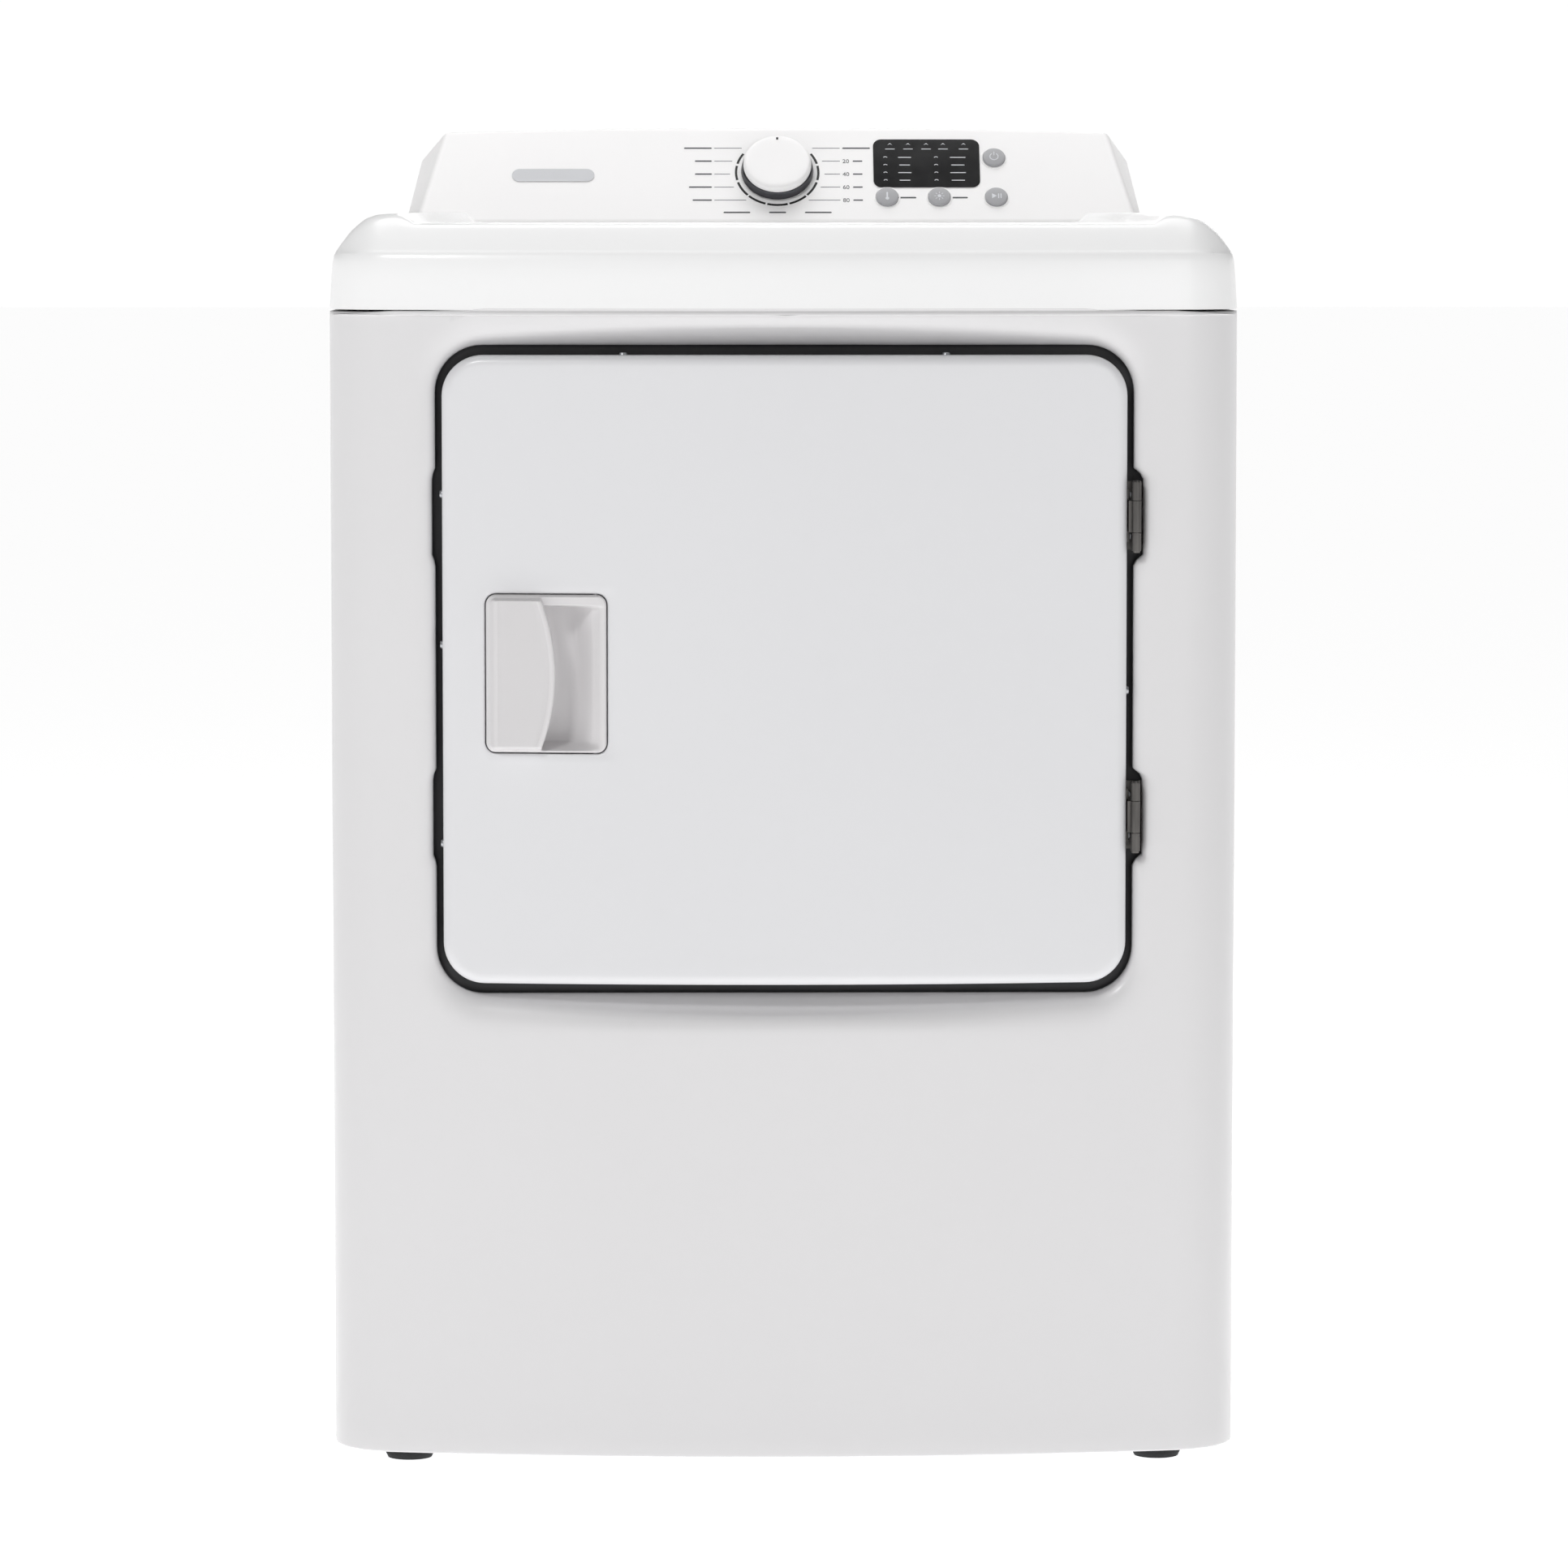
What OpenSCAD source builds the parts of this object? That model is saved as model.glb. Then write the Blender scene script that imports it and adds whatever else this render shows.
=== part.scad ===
// Front-loading tumble dryer, 27 inch class: bowed front with a side-hinged door,
// lift-look worktop with sloped rim, raised rear console, and the drive and air path inside.
// Millimetres. X to the right, Y to the rear, Z up, the floor at z = 0. The modules measure y from the
// bow's apex, and place() moves the origin to the middle of the footprint.

/* [Cabinet] */
// Overall width of the cabinet
width = 692; // [600:1:760]
// Depth from the bow's apex to the rear panel
depth = 690; // [600:1:760]
// Radius of the bowed front in plan
bow_r = 1700; // [1200:10:2600]
// Radius of the vertical front corners
corner_r = 55; // [20:1:80]
// Height of the gap between body and worktop
gap_z = 890; // [820:1:920]
// Lower edge of the panels above the floor
panel_z = 18; // [12:1:40]
// Thickness of the steel sheet
sheet = 1.2; // [0.8:0.1:2]

/* [Worktop] */
// Height of the worktop's flat floor
worktop_z = 954.5; // [940:0.5:970]
// Half width of the sunk floor in front of the console
worktop_half = 290; // [260:1:300]

/* [Door] */
// Half width of the door
door_half = 259; // [200:1:270]
// Lower and upper edge of the door
door_z = [380, 856];
// Corner radius of the door
door_r = 31; // [10:1:60]
// How far the door stands in front of the panel's bow
door_proud = 4; // [0:0.5:8]
// Depth of the flat floor of the door recess
recess_y = 42; // [36:1:60]

/* [Drum] */
// Outer radius of the drum
drum_r = 300; // [250:1:310]
// Height of the drum's axis
drum_z = 600; // [560:1:620]
// First and last edge of the drum
drum_y = [104, 598];
// Radius of the loading mouth
mouth_r = 200; // [150:1:220]

/* [Console] */
// Front lower edge of the fascia, from the bow's apex
fascia_y = 500; // [440:1:560]
// Tilt of the fascia back from vertical
fascia_tilt = 38; // [20:1:60]
// Half width of the fascia at its lower edge
fascia_half = 298; // [250:1:310]

/* [Drive] */
// Axis of the motor and blower in X and Z
motor_xz = [-60, 140];
// Radius of the drum rollers
roller_r = 38; // [25:1:45]
// Angle of the rollers from straight below the drum's axis
roller_a = 35; // [20:1:50]
// Centre of the exhaust duct in X and Z
duct_xz = [100, 98];
// Outer radius of the exhaust duct
duct_r = 50.8; // [40:0.1:60]

/* [View] */
// Sub-part to draw

/* [Hidden] */
$fn = 64;
half = width / 2;
door_mid_z = (door_z[0] + door_z[1]) / 2;
// Centre of the corner arc that is tangent to the side and to the bow
corner_x = half - corner_r;
// How far the corner arc stands proud of the bow, so that the two arcs cross
arc_lap = 0.03;
corner_y = bow_r - sqrt(pow(bow_r - corner_r, 2) - corner_x * corner_x) - arc_lap;
// Recess outlines, [x0, x1, z0, z1, corner radius]
recess_out = [-270, 270, 355, 878, 44];
recess_in = [-264.5, 264.5, 370.5, 863.5, 36];
// Door hinge axis in X and Y, and the heights of the hinge centres
hinge_x = 266;
hinge_y = 18;
hinge_z = [door_mid_z + 116, door_mid_z - 112];
// Handle, [x0, x1, z0, z1]
handle_box = [-226, -134.6, 556, 676];
fascia_z = worktop_z + 1;
// Fastener and latch positions
frame_screw_x = hinge_x - 5;
strike_x = -240;
rear_screw_x = 336;
rear_screw_z = [66, 250, 440, 630, 840];
console_screw_x = [-270, -90, 90, 270];
base_screw_pos = [[-134, 225], [14, 225], [-134, 285], [14, 285]];
// Length from the rear panel to the end of the exhaust collar
collar_len = 45;
// Middle of the footprint, from the bow's apex
mid_y = (depth + collar_len - door_proud) / 2;
foot_pos = [[-290, 110], [290, 110], [-290, 640], [290, 640]];
knob_pos = [0.5, 50.7];
button_pos = [[180, 65.6], [181, 24.4], [91, 24.4], [134, 24.4]];
display_box = [80, 168, 35, 85];
belt_y = [336, 346];
idler_pivot = [-190, 60];
idler_centre = [-147.8, 214.5];
// Worktop rim, [inset from the plan outline, height]
rim = [[0, 890], [3, 931], [6, 936], [22, 954], [28, 958.5], [36, 961.2], [50, 963]];

// ---------- helpers ----------

// Plan outline of the cabinet, inset by t, with its straight back edge at y = back
module plan(t = 0, back = depth, fine = 360) {
    k = 1.1;
    intersection() {
        translate([0, bow_r]) circle(r = bow_r - t, $fn = fine);
        polygon([[-corner_x, corner_y],
            [-k * corner_x, bow_r - k * (bow_r - corner_y)],
            [k * corner_x, bow_r - k * (bow_r - corner_y)],
            [corner_x, corner_y]]);
    }
    for (s = [-1, 1]) translate([s * corner_x, corner_y]) circle(r = corner_r - t, $fn = 32);
    translate([t - half, corner_y]) square([2 * (half - t), back - corner_y]);
}

// Solid whose front follows the bow, t behind the panel's face, back to y = back
module bow_solid(t, back, z0, z1) {
    translate([0, 0, z0]) linear_extrude(z1 - z0) intersection() {
        translate([0, bow_r]) circle(r = bow_r - t, $fn = 360);
        translate([-half, -20]) square([width, back + 20]);
    }
}

// Rounded rectangle in X and Z, [x0, x1, z0, z1], extruded from y0 to y1
module xz_slab(b, r, y0, y1, grow = 0) {
    translate([0, y1, 0]) rotate([90, 0, 0]) linear_extrude(y1 - y0) {
        x0 = b[0] - grow;
        x1 = b[1] + grow;
        z0 = b[2] - grow;
        z1 = b[3] + grow;
        q = r + grow;
        translate([x0 + q, z0]) square([x1 - x0 - 2 * q, z1 - z0]);
        translate([x0, z0 + q]) square([x1 - x0, z1 - z0 - 2 * q]);
        for (x = [x0 + q, x1 - q], z = [z0 + q, z1 - q]) translate([x, z]) circle(r = q);
    }
}

// Cylinder along Y from y0 to y1 at [x, z]
module y_cyl(p, r, y0, y1, r2 = -1) {
    translate([p[0], y0, p[1]]) rotate([-90, 0, 0])
        cylinder(h = y1 - y0, r1 = r, r2 = r2 < 0 ? r : r2);
}

// Tube along Y
module y_tube(p, ro, ri, y0, y1) {
    difference() {
        y_cyl(p, ro, y0, y1);
        y_cyl(p, ri, y0 - 1, y1 + 1);
    }
}

// Box given by its two corners
module box(a, b) translate(a) cube(b - a);

// Local frame on the fascia: X along it, Y up its slope, Z out of it
module on_fascia(x, t) {
    translate([x, fascia_y + t * sin(fascia_tilt), fascia_z + t * cos(fascia_tilt)])
        rotate([90 - fascia_tilt, 0, 0]) children();
}

// Sloped recess around the door; grow thickens it outwards
module recess_form(grow = 0, floor_y = recess_y) {
    hull() {
        xz_slab(recess_out, recess_out[4], -8, 4, grow, $fn = 32);
        xz_slab(recess_in, recess_in[4], floor_y - 12, floor_y, grow, $fn = 32);
    }
}

// Pockets in the recess walls, on both sides because the door can be rehung
module hinge_pockets(grow = 0) {
    for (s = [-1, 1], z = hinge_z)
        box([s * 268 - 9 - grow, 8 - grow, z - 34 - grow],
            [s * 268 + 9 + grow, recess_y + grow, z + 34 + grow]);
}

// Small pan-head screw with its axis along +Y out of the head's underside
module screw_y(p, y, r = 4.2, len = 10) {
    y_cyl(p, r * 0.45, y, y + len);
    y_cyl(p, r * 0.8, y - r * 0.55, y, r);
}

// Rotates a front-facing screw so its head faces the rear
module rear_screw(p, y, r = 4.2, len = 10) {
    translate([p[0], y, p[1]]) rotate([0, 0, 180]) screw_y([0, 0], 0, r, len);
}

// ---------- cabinet ----------

// Pressed floor tray with an upstand and stiffening ribs
module base_pan() color([0.55, 0.57, 0.6]) {
    difference() {
        union() {
            translate([0, 0, 22]) linear_extrude(2) plan(2, depth - 4);
            translate([0, 0, 24]) linear_extrude(21) difference() {
                plan(2, depth - 4);
                plan(3.5, depth - 5.5);
            }
            for (x = [-262, 242]) box([x, 120, 24], [x + 20, 640, 30]);
            for (p = foot_pos) translate([p[0], p[1], 24]) cylinder(r = 14, h = 8);
        }
        for (p = foot_pos) translate([p[0], p[1], 0]) cylinder(r = 5.05, h = 60);
        for (x = [-262, 242]) box([x + 1.5, 121.5, 21], [x + 18.5, 638.5, 28.5]);
    }
}

// Bowed steel front with the pressed door recess and the loading mouth
module front_panel() color([0.86, 0.86, 0.86]) difference() {
    union() {
        difference() {
            translate([0, 0, panel_z]) linear_extrude(gap_z - 1.6 - panel_z)
                intersection() {
                    difference() {
                        plan(0);
                        plan(sheet);
                    }
                    translate([-half - 1, -1]) square([width + 2, corner_y + 0.9]);
                }
            recess_form();
        }
        difference() {
            intersection() {
                recess_form(sheet, recess_y + sheet);
                bow_solid(0.1, 60, 300, 885);
            }
            recess_form();
        }
        difference() {
            intersection() {
                hinge_pockets(sheet);
                bow_solid(0.1, 60, 300, 885);
            }
            recess_form();
        }
        for (z = [panel_z, gap_z - 1.6 - sheet]) translate([0, 0, z]) linear_extrude(sheet)
            intersection() {
                difference() {
                    plan(0.2);
                    plan(14);
                }
                translate([-half - 1, -1]) square([width + 2, corner_y - 2]);
            }
    }
    hinge_pockets();
    y_cyl([0, drum_z], mouth_r, -20, 60);
    xz_slab([-247, -232, 602, 632], 3, 30, 60);
    y_cyl([232, 842], 4.3, 30, 60);
    for (s = [-1, 1], z = hinge_z, q = [-16, 16]) y_cyl([s * frame_screw_x, z + q], 1.9, 30, 60);
}

// Flat cabinet side with return flanges at the back and the front
module side_wall() difference() {
    z1 = gap_z - 1.6;
    union() {
        box([half - sheet, corner_y, panel_z], [half, depth, z1]);
        box([half - 16, depth - 2 * sheet - 0.2, 60], [half - 0.1, depth - sheet - 0.2, z1]);
        box([half - 16, corner_y, 60], [half - 0.1, corner_y + sheet, z1]);
        box([half - 14, corner_y, z1 - sheet], [half - 0.1, depth - 3, z1]);
    }
    for (z = rear_screw_z) y_cyl([rear_screw_x, z], 2.1, depth - 10, depth + 10);
}

module side_panel_left() color([0.84, 0.84, 0.84]) mirror([1, 0, 0]) side_wall();

module side_panel_right() color([0.84, 0.84, 0.84]) side_wall();

// Galvanised back with the exhaust, cord, terminal and vent openings
module rear_panel() color([0.7, 0.72, 0.73]) difference() {
    box([-half + sheet + 0.3, depth - sheet, panel_z], [half - sheet - 0.3, depth, gap_z - 2]);
    y_cyl(duct_xz, duct_r + 2, depth - 10, depth + 10);
    y_cyl([240, 700], 15.2, depth - 10, depth + 10);
    box([205, depth - 10, 735], [275, depth + 10, 815]);
    for (i = [0:11], s = [-1, 1])
        box([s * 120 - 55, depth - 10, 250 + 18 * i], [s * 120 + 55, depth + 10, 256 + 18 * i]);
    for (p = rear_screw_pos()) y_cyl(p, 1.9, depth - 10, depth + 10);
}

function rear_screw_pos() = [for (x = [-rear_screw_x, rear_screw_x], z = rear_screw_z) [x, z]];

// Tiers of the worktop's rim; w shrinks it to its inner face
module rim_form(w) hull() for (p = rim)
    translate([0, 0, p[1] - w - (p[1] == gap_z && w > 0 ? 5 : 0)])
        linear_extrude(0.02) plan(p[0] + w, depth - w, 240);

// Worktop: drafted skirt, sloped and rolled rim, sunk floor that widens under the console
module worktop() color([0.93, 0.93, 0.93]) {
    difference() {
        rim_form(0);
        rim_form(1.5);
        box([-worktop_half, 20, worktop_z], [worktop_half, depth + 1, 980]);
        box([-318, fascia_y - 8, worktop_z], [318, depth + 1, 980]);
    }
    translate([0, 0, worktop_z - 1.5]) linear_extrude(1.5) intersection() {
        plan(23, depth - 1);
        union() {
            translate([-worktop_half - 1, 0]) square([2 * worktop_half + 2, depth]);
            translate([-318, fascia_y - 9]) square([636, depth]);
        }
    }
}

// ---------- console ----------

// Centre of an edge ball inside the fascia's plane, r deep, at height z
function fascia_pt(x, z, r) =
    let (t = (z - fascia_z + r * sin(fascia_tilt)) / cos(fascia_tilt))
    [x * (fascia_half - 0.2316 * t - r), fascia_y + t * sin(fascia_tilt) + r * cos(fascia_tilt), z];

// Console solid from edge balls of radius q on a fixed frame of radius r
module console_form(q, r = 6) hull() {
    for (s = [-1, 1]) {
        translate(fascia_pt(s, fascia_z - 8, r)) sphere(r = q, $fn = 20);
        translate(fascia_pt(s, 1022.5, r)) sphere(r = q, $fn = 20);
        translate(fascia_pt(s * 0.55, 1025.5, r)) sphere(r = q, $fn = 20);
        translate([s * (312 - r), 684 - r, fascia_z - 8]) sphere(r = q, $fn = 20);
        translate([s * (299 - r), 684 - r, 1003]) sphere(r = q, $fn = 20);
        translate([s * (281 - r), 684 - r, 1020.5]) sphere(r = q, $fn = 20);
        translate([s * 150, 684 - r, 1024.5]) sphere(r = q, $fn = 20);
    }
    translate(fascia_pt(0, 1026.5, r)) sphere(r = q, $fn = 20);
}

// Moulded console housing with openings for the controls, open at the back
module console_body() color([0.94, 0.94, 0.94]) difference() {
    console_form(6);
    console_form(3.5);
    box([-400, 400, 900], [400, 760, fascia_z - 0.8]);
    box([-288, 676, fascia_z - 2], [288, 700, 1016]);
    on_fascia(knob_pos[0], knob_pos[1]) translate([0, 0, -10]) cylinder(r = 5.3, h = 20);
    for (p = button_pos) on_fascia(p[0], p[1]) translate([0, 0, -10]) cylinder(r = 9.6, h = 20);
    on_fascia(0, 0) translate([0, 0, -10]) linear_extrude(20) display_outline(0.3);
}

// Rounded outline of the display window on the fascia, grown by g
module display_outline(g = 0) {
    b = display_box;
    q = 7 + g;
    translate([b[0] - g + q, b[2] - g]) square([b[1] - b[0] + 2 * (g - q), b[3] - b[2] + 2 * g]);
    translate([b[0] - g, b[2] - g + q]) square([b[1] - b[0] + 2 * g, b[3] - b[2] + 2 * (g - q)]);
    for (x = [b[0] - g + q, b[1] + g - q], y = [b[2] - g + q, b[3] + g - q])
        translate([x, y]) circle(r = q);
}

// Sheet that closes the console's back
module console_back() color([0.7, 0.72, 0.73]) {
    difference() {
        box([-287.5, 681, fascia_z - 0.5], [287.5, 682.2, 1015.5]);
        for (x = console_screw_x) y_cyl([x, 1008], 1.9, 670, 690);
    }
    for (s = [-1, 1]) box([s * 250 - 15, 665, fascia_z - 0.5], [s * 250 + 15, 681, fascia_z + 0.7]);
}

module display_window() color([0.03, 0.03, 0.035]) on_fascia(0, 0) translate([0, 0, -2.2])
    linear_extrude(2.9) display_outline();

// Circuit board with the display lamp unit, key switches, a relay and a connector
module control_board() color([0.1, 0.35, 0.2]) {
    on_fascia(0, 0) translate([70, 12, -12]) cube([134, 74, 1.6]);
    on_fascia(86, 40) translate([0, 0, -10.4]) cube([76, 40, 7.4]);
    for (p = button_pos) on_fascia(p[0], p[1]) translate([-3, -3, -10.4]) cube([6, 6, 2.6]);
    on_fascia(0, 0) {
        translate([150, 40, -28]) cube([28, 20, 16]);
        translate([84, 44, -20]) cube([30, 12, 8]);
    }
}

// Rotary selector behind the knob, bored for its shaft
module selector_switch() color([0.2, 0.2, 0.22]) on_fascia(knob_pos[0], knob_pos[1])
    difference() {
        union() {
            translate([0, 0, -24]) cylinder(r = 15, h = 20);
            translate([0, 0, -24]) cylinder(r = 5, h = 25);
            translate([-17, -9, -24]) cube([34, 18, 6]);
        }
        translate([0, 0, -21]) cylinder(r = 3.05, h = 40);
    }

// Blank trim plate
module badge_plate() color([0.6, 0.61, 0.63]) on_fascia(-184.5, 47.5) translate([0, 0, 0.02])
    linear_extrude(0.6) {
        square([55, 13], center = true);
        for (s = [-1, 1]) translate([s * 27.5, 0]) circle(r = 6.5);
    }

// White face of the knob with an index groove
module knob_cap() color([0.95, 0.95, 0.95]) on_fascia(knob_pos[0], knob_pos[1]) difference() {
    union() {
        translate([0, 0, 8.5]) cylinder(r = 28, h = 5);
        translate([0, 0, 13.5]) cylinder(r1 = 28, r2 = 26, h = 1.6);
    }
    translate([-0.8, 18, 14.5]) cube([1.6, 7, 2]);
}

// Metallic skirt of the knob on its shaft
module knob_skirt() color([0.5, 0.5, 0.52]) on_fascia(knob_pos[0], knob_pos[1]) {
    translate([0, 0, 1.5]) difference() {
        cylinder(r1 = 30, r2 = 28.6, h = 7);
        translate([0, 0, -1]) cylinder(r = 26, h = 6);
    }
    translate([0, 0, -20.5]) cylinder(r = 3, h = 28);
}

// Round push button with a retaining flange behind the fascia
module push_button(p) on_fascia(p[0], p[1]) {
    translate([0, 0, -4]) cylinder(r = 9.25, h = 5.6);
    translate([0, 0, 1.6]) cylinder(r1 = 9.25, r2 = 8.5, h = 0.8);
    translate([0, 0, -5.4]) cylinder(r = 10.8, h = 1.6);
}

module button_power() color([0.66, 0.66, 0.68]) push_button(button_pos[0]);

module button_start() color([0.66, 0.66, 0.68]) push_button(button_pos[1]);

module button_temp() color([0.66, 0.66, 0.68]) push_button(button_pos[2]);

module button_dryness() color([0.66, 0.66, 0.68]) push_button(button_pos[3]);

// ---------- door ----------

// Pressed outer skin of the door, a pan that follows the bow, with the handle cut out
module door_outer() color([0.87, 0.87, 0.88]) difference() {
    b = [-door_half, door_half, door_z[0], door_z[1]];
    intersection() {
        xz_slab(b, door_r, -10, 31.8);
        bow_solid(-door_proud, 60, 370, 870);
    }
    intersection() {
        xz_slab(b, door_r, -10, 40, -sheet);
        bow_solid(sheet - door_proud, 60, 370, 870);
    }
    xz_slab(handle_box, 8, -10, 50, -2);
    for (z = hinge_z) box([250, 20.5, z - 22], [262, 40, z + 22]);
    for (z = [486, 637, 751]) x_hole([-door_half, 25, z]);
    x_hole([door_half, 25, 602]);
    for (x = [-122, 122]) translate([x, 25, door_z[1]]) cylinder(r = 1.6, h = 8, center = true);
}

// Small hole along X through the door's edge
module x_hole(p) translate(p) rotate([0, 90, 0]) cylinder(r = 1.6, h = 8, center = true);

// Moulded inner skin with a round plug that enters the loading mouth
module door_inner() color([0.9, 0.9, 0.9]) difference() {
    union() {
        xz_slab([-door_half + 1, door_half - 1, door_z[0] + 1, door_z[1] - 1], door_r - 1, 32, 34.5);
        y_cyl([0, drum_z], 188, 34.5, 56, 176);
    }
    y_cyl([0, drum_z], 184, 31, 53, 172.5);
    for (z = hinge_z, q = [-12, 12]) y_cyl([250, z + q], 1.9, 20, 50);
    for (q = [-9, 9]) y_cyl([strike_x, 617 + q], 1.4, 20, 50);
}

// Soft ring that meets the recess floor around the mouth
module door_seal() color([0.3, 0.3, 0.32]) difference() {
    y_tube([0, drum_z], 214, 206, 34.5, 41.6);
    y_tube([0, drum_z], 212.5, 207.5, 38, 42);
}

// Moulded handle pocket with a raised frame and a floor that rises to the right
module handle_cup() color([0.8, 0.79, 0.8]) difference() {
    b = handle_box;
    union() {
        intersection() {
            xz_slab(b, 8, -10, 14);
            bow_solid(-door_proud - 2.5, 40, 500, 720);
        }
        xz_slab(b, 8, 10, 30.5, -3);
    }
    intersection() {
        xz_slab(b, 8, -10, 28.5, -5.5);
        translate([-235, 0, 540]) rotate([0, 0, -8]) translate([0, -30, 0]) cube([110, 64, 150]);
    }
    difference() {
        bow_solid(-door_proud, 20, 500, 720);
        xz_slab(b, 8, -20, 40, -3);
    }
}

// Pull plate over the left of the pocket; its right edge bulges for the fingers
module handle_grip() color([0.83, 0.82, 0.83]) intersection() {
    translate([0, 30, 0]) rotate([90, 0, 0]) linear_extrude(60) intersection() {
        translate([-223, 559.5]) square([80, 113]);
        translate([-330.5, 616]) circle(r = 157, $fn = 120);
    }
    difference() {
        bow_solid(-door_proud - 8, 28, 540, 700);
        bow_solid(-door_proud - 2.6, 60, 530, 710);
    }
}

// Latch tongue screwed to the door's back
module door_strike() color([0.72, 0.73, 0.74]) {
    difference() {
        box([strike_x - 3, 34.6, 605], [strike_x + 3, 36, 629]);
        for (q = [-9, 9]) y_cyl([strike_x, 617 + q], 1.4, 20, 50);
    }
    box([strike_x - 1.5, 36, 615], [strike_x + 1.5, 54, 619]);
    box([strike_x - 2.4, 50, 615], [strike_x - 1.5, 54, 619]);
}

// Hinge leaf on the cabinet: two end knuckles, a web and a screwed foot
module hinge_frame(z) difference() {
    union() {
        for (q = [-26, 12.4])
            translate([hinge_x, hinge_y, z + q]) cylinder(r = 3.5, h = 13.6);
        for (q = [-26, 12.4])
            box([hinge_x + 1, hinge_y, z + q], [hinge_x + 3.4, recess_y - 0.2, z + q + 13.6]);
        box([hinge_x - 9, recess_y - 2.2, z - 26], [hinge_x + 8, recess_y - 0.2, z + 26]);
    }
    for (q = [-16, 16]) y_cyl([frame_screw_x, z + q], 1.9, 30, 50);
}

// Riveted pin with a head at each end
module hinge_pin(z) translate([hinge_x, hinge_y, z]) {
    translate([0, 0, -26.6]) cylinder(r = 2, h = 53);
    for (q = [-27.4, 26]) translate([0, 0, q]) cylinder(r = 2.8, h = 1.4);
}

// Upper and lower leaves on the cabinet, with their pins
module hinge_frame_leaves() color([0.33, 0.33, 0.34]) for (z = hinge_z) {
    hinge_frame(z);
    hinge_pin(z);
}

// Hinge leaf on the door: one middle knuckle and a plate on the door's back
module hinge_door(z) difference() {
    union() {
        translate([hinge_x, hinge_y, z - 12]) cylinder(r = 3.5, h = 24);
        box([hinge_x - 4.5, hinge_y + 2.6, z - 12], [hinge_x + 0.5, hinge_y + 4.4, z + 12]);
        box([hinge_x - 5.8, hinge_y + 2.6, z - 12], [hinge_x - 4.2, 36.3, z + 12]);
        box([244, 34.5, z - 20], [hinge_x - 4.2, 36.3, z + 20]);
    }
    translate([hinge_x, hinge_y, z - 40]) cylinder(r = 2.05, h = 80);
    for (q = [-12, 12]) y_cyl([250, z + q], 1.9, 20, 50);
}

// Upper and lower leaves on the door
module hinge_door_leaves() color([0.33, 0.33, 0.34]) for (z = hinge_z) hinge_door(z);

// Screws around the door's edge, and those of its hinges and strike
module door_screws() color([0.8, 0.8, 0.8]) {
    for (z = [486, 637, 751]) translate([-door_half - 1.8, 25, z]) rotate([0, 90, 0]) edge_screw();
    translate([door_half + 1.8, 25, 602]) rotate([0, -90, 0]) edge_screw();
    for (x = [-122, 122]) translate([x, 25, door_z[1] + 1.8]) rotate([180, 0, 0]) edge_screw();
    for (z = hinge_z, q = [-12, 12]) rear_screw([250, z + q], 36.3, 3.4, 6);
    for (q = [-9, 9]) rear_screw([strike_x, 617 + q], 36, 2.4, 6);
}

module edge_screw() {
    cylinder(r1 = 2.6, r2 = 3.4, h = 1.8);
    cylinder(r = 1.6, h = 9);
}

// ---------- loading mouth and air path ----------

// Stationary front bulkhead: plate, mouth liner and the collar the drum turns on
module front_bulkhead() color([0.75, 0.76, 0.77]) difference() {
    union() {
        xz_slab([-328, 328, 252, 858], 20, 50, 51.2);
        y_cyl([0, drum_z], 228, 51, 112);
        y_cyl([0, drum_z], mouth_r + 2.5, 44, 60);
    }
    y_cyl([0, drum_z], mouth_r, 40, 120);
    difference() {
        y_cyl([0, drum_z], 226, 52.4, 110);
        y_cyl([0, drum_z], mouth_r + 1.8, 50, 120);
    }
    box([-117.5, 58.5, 360], [117.5, 97.5, 460]);
    xz_slab([-256, -229.5, 596, 638], 3, 40, 56);
    box([218, 40, 826], [246, 60, 870]);
    for (p = bulkhead_screw_pos()) y_cyl(p, 2, 40, 60);
    y_cyl([0, drum_z + 213], 5.2, 100, 120);
}

// Felt rings that the drum's front lip and rear hem run on
module drum_felts() color([0.45, 0.42, 0.38]) {
    y_tube([0, drum_z], 231.4, 228, 100, 111);
    y_tube([0, drum_z], 297.8, 284.6, 599, 606);
}

module drum_lamp() color([0.95, 0.93, 0.85]) {
    y_cyl([0, drum_z + 213], 5, 104, 112);
    y_cyl([0, drum_z + 213], 9, 112, 115);
    y_cyl([0, drum_z + 213], 9, 115, 119, 5);
}

// Two metal bars that touch the load and sense its moisture
module sensor_bars() color([0.75, 0.76, 0.77])
    for (z = [408, 422]) box([-52, 97, z], [52, 98.6, z + 6]);

// Spring catch behind the recess floor
module door_catch() color([0.85, 0.85, 0.86]) difference() {
    box([-251, 43.6, 600], [-230.5, 66, 634]);
    box([-247.5, 40, 604], [-233.5, 60, 630]);
}

// Door switch body with a bore for its plunger
module door_switch() color([0.2, 0.2, 0.22]) difference() {
    box([222, 44, 830], [242, 76, 852]);
    y_cyl([232, 842], 3.55, 40, 72);
}

module switch_plunger() color([0.92, 0.92, 0.92]) y_cyl([232, 842], 3.5, 35, 66);

// Chute from the mouth down to the blower's inlet, with a slot for the lint filter
module lint_chute() color([0.9, 0.9, 0.9]) difference() {
    box([-116, 60, 60], [116, 96, 436]);
    box([-113.5, 62.5, 62.5], [113.5, 93.5, 440]);
    y_cyl(motor_xz, 46, 90, 100);
}

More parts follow.
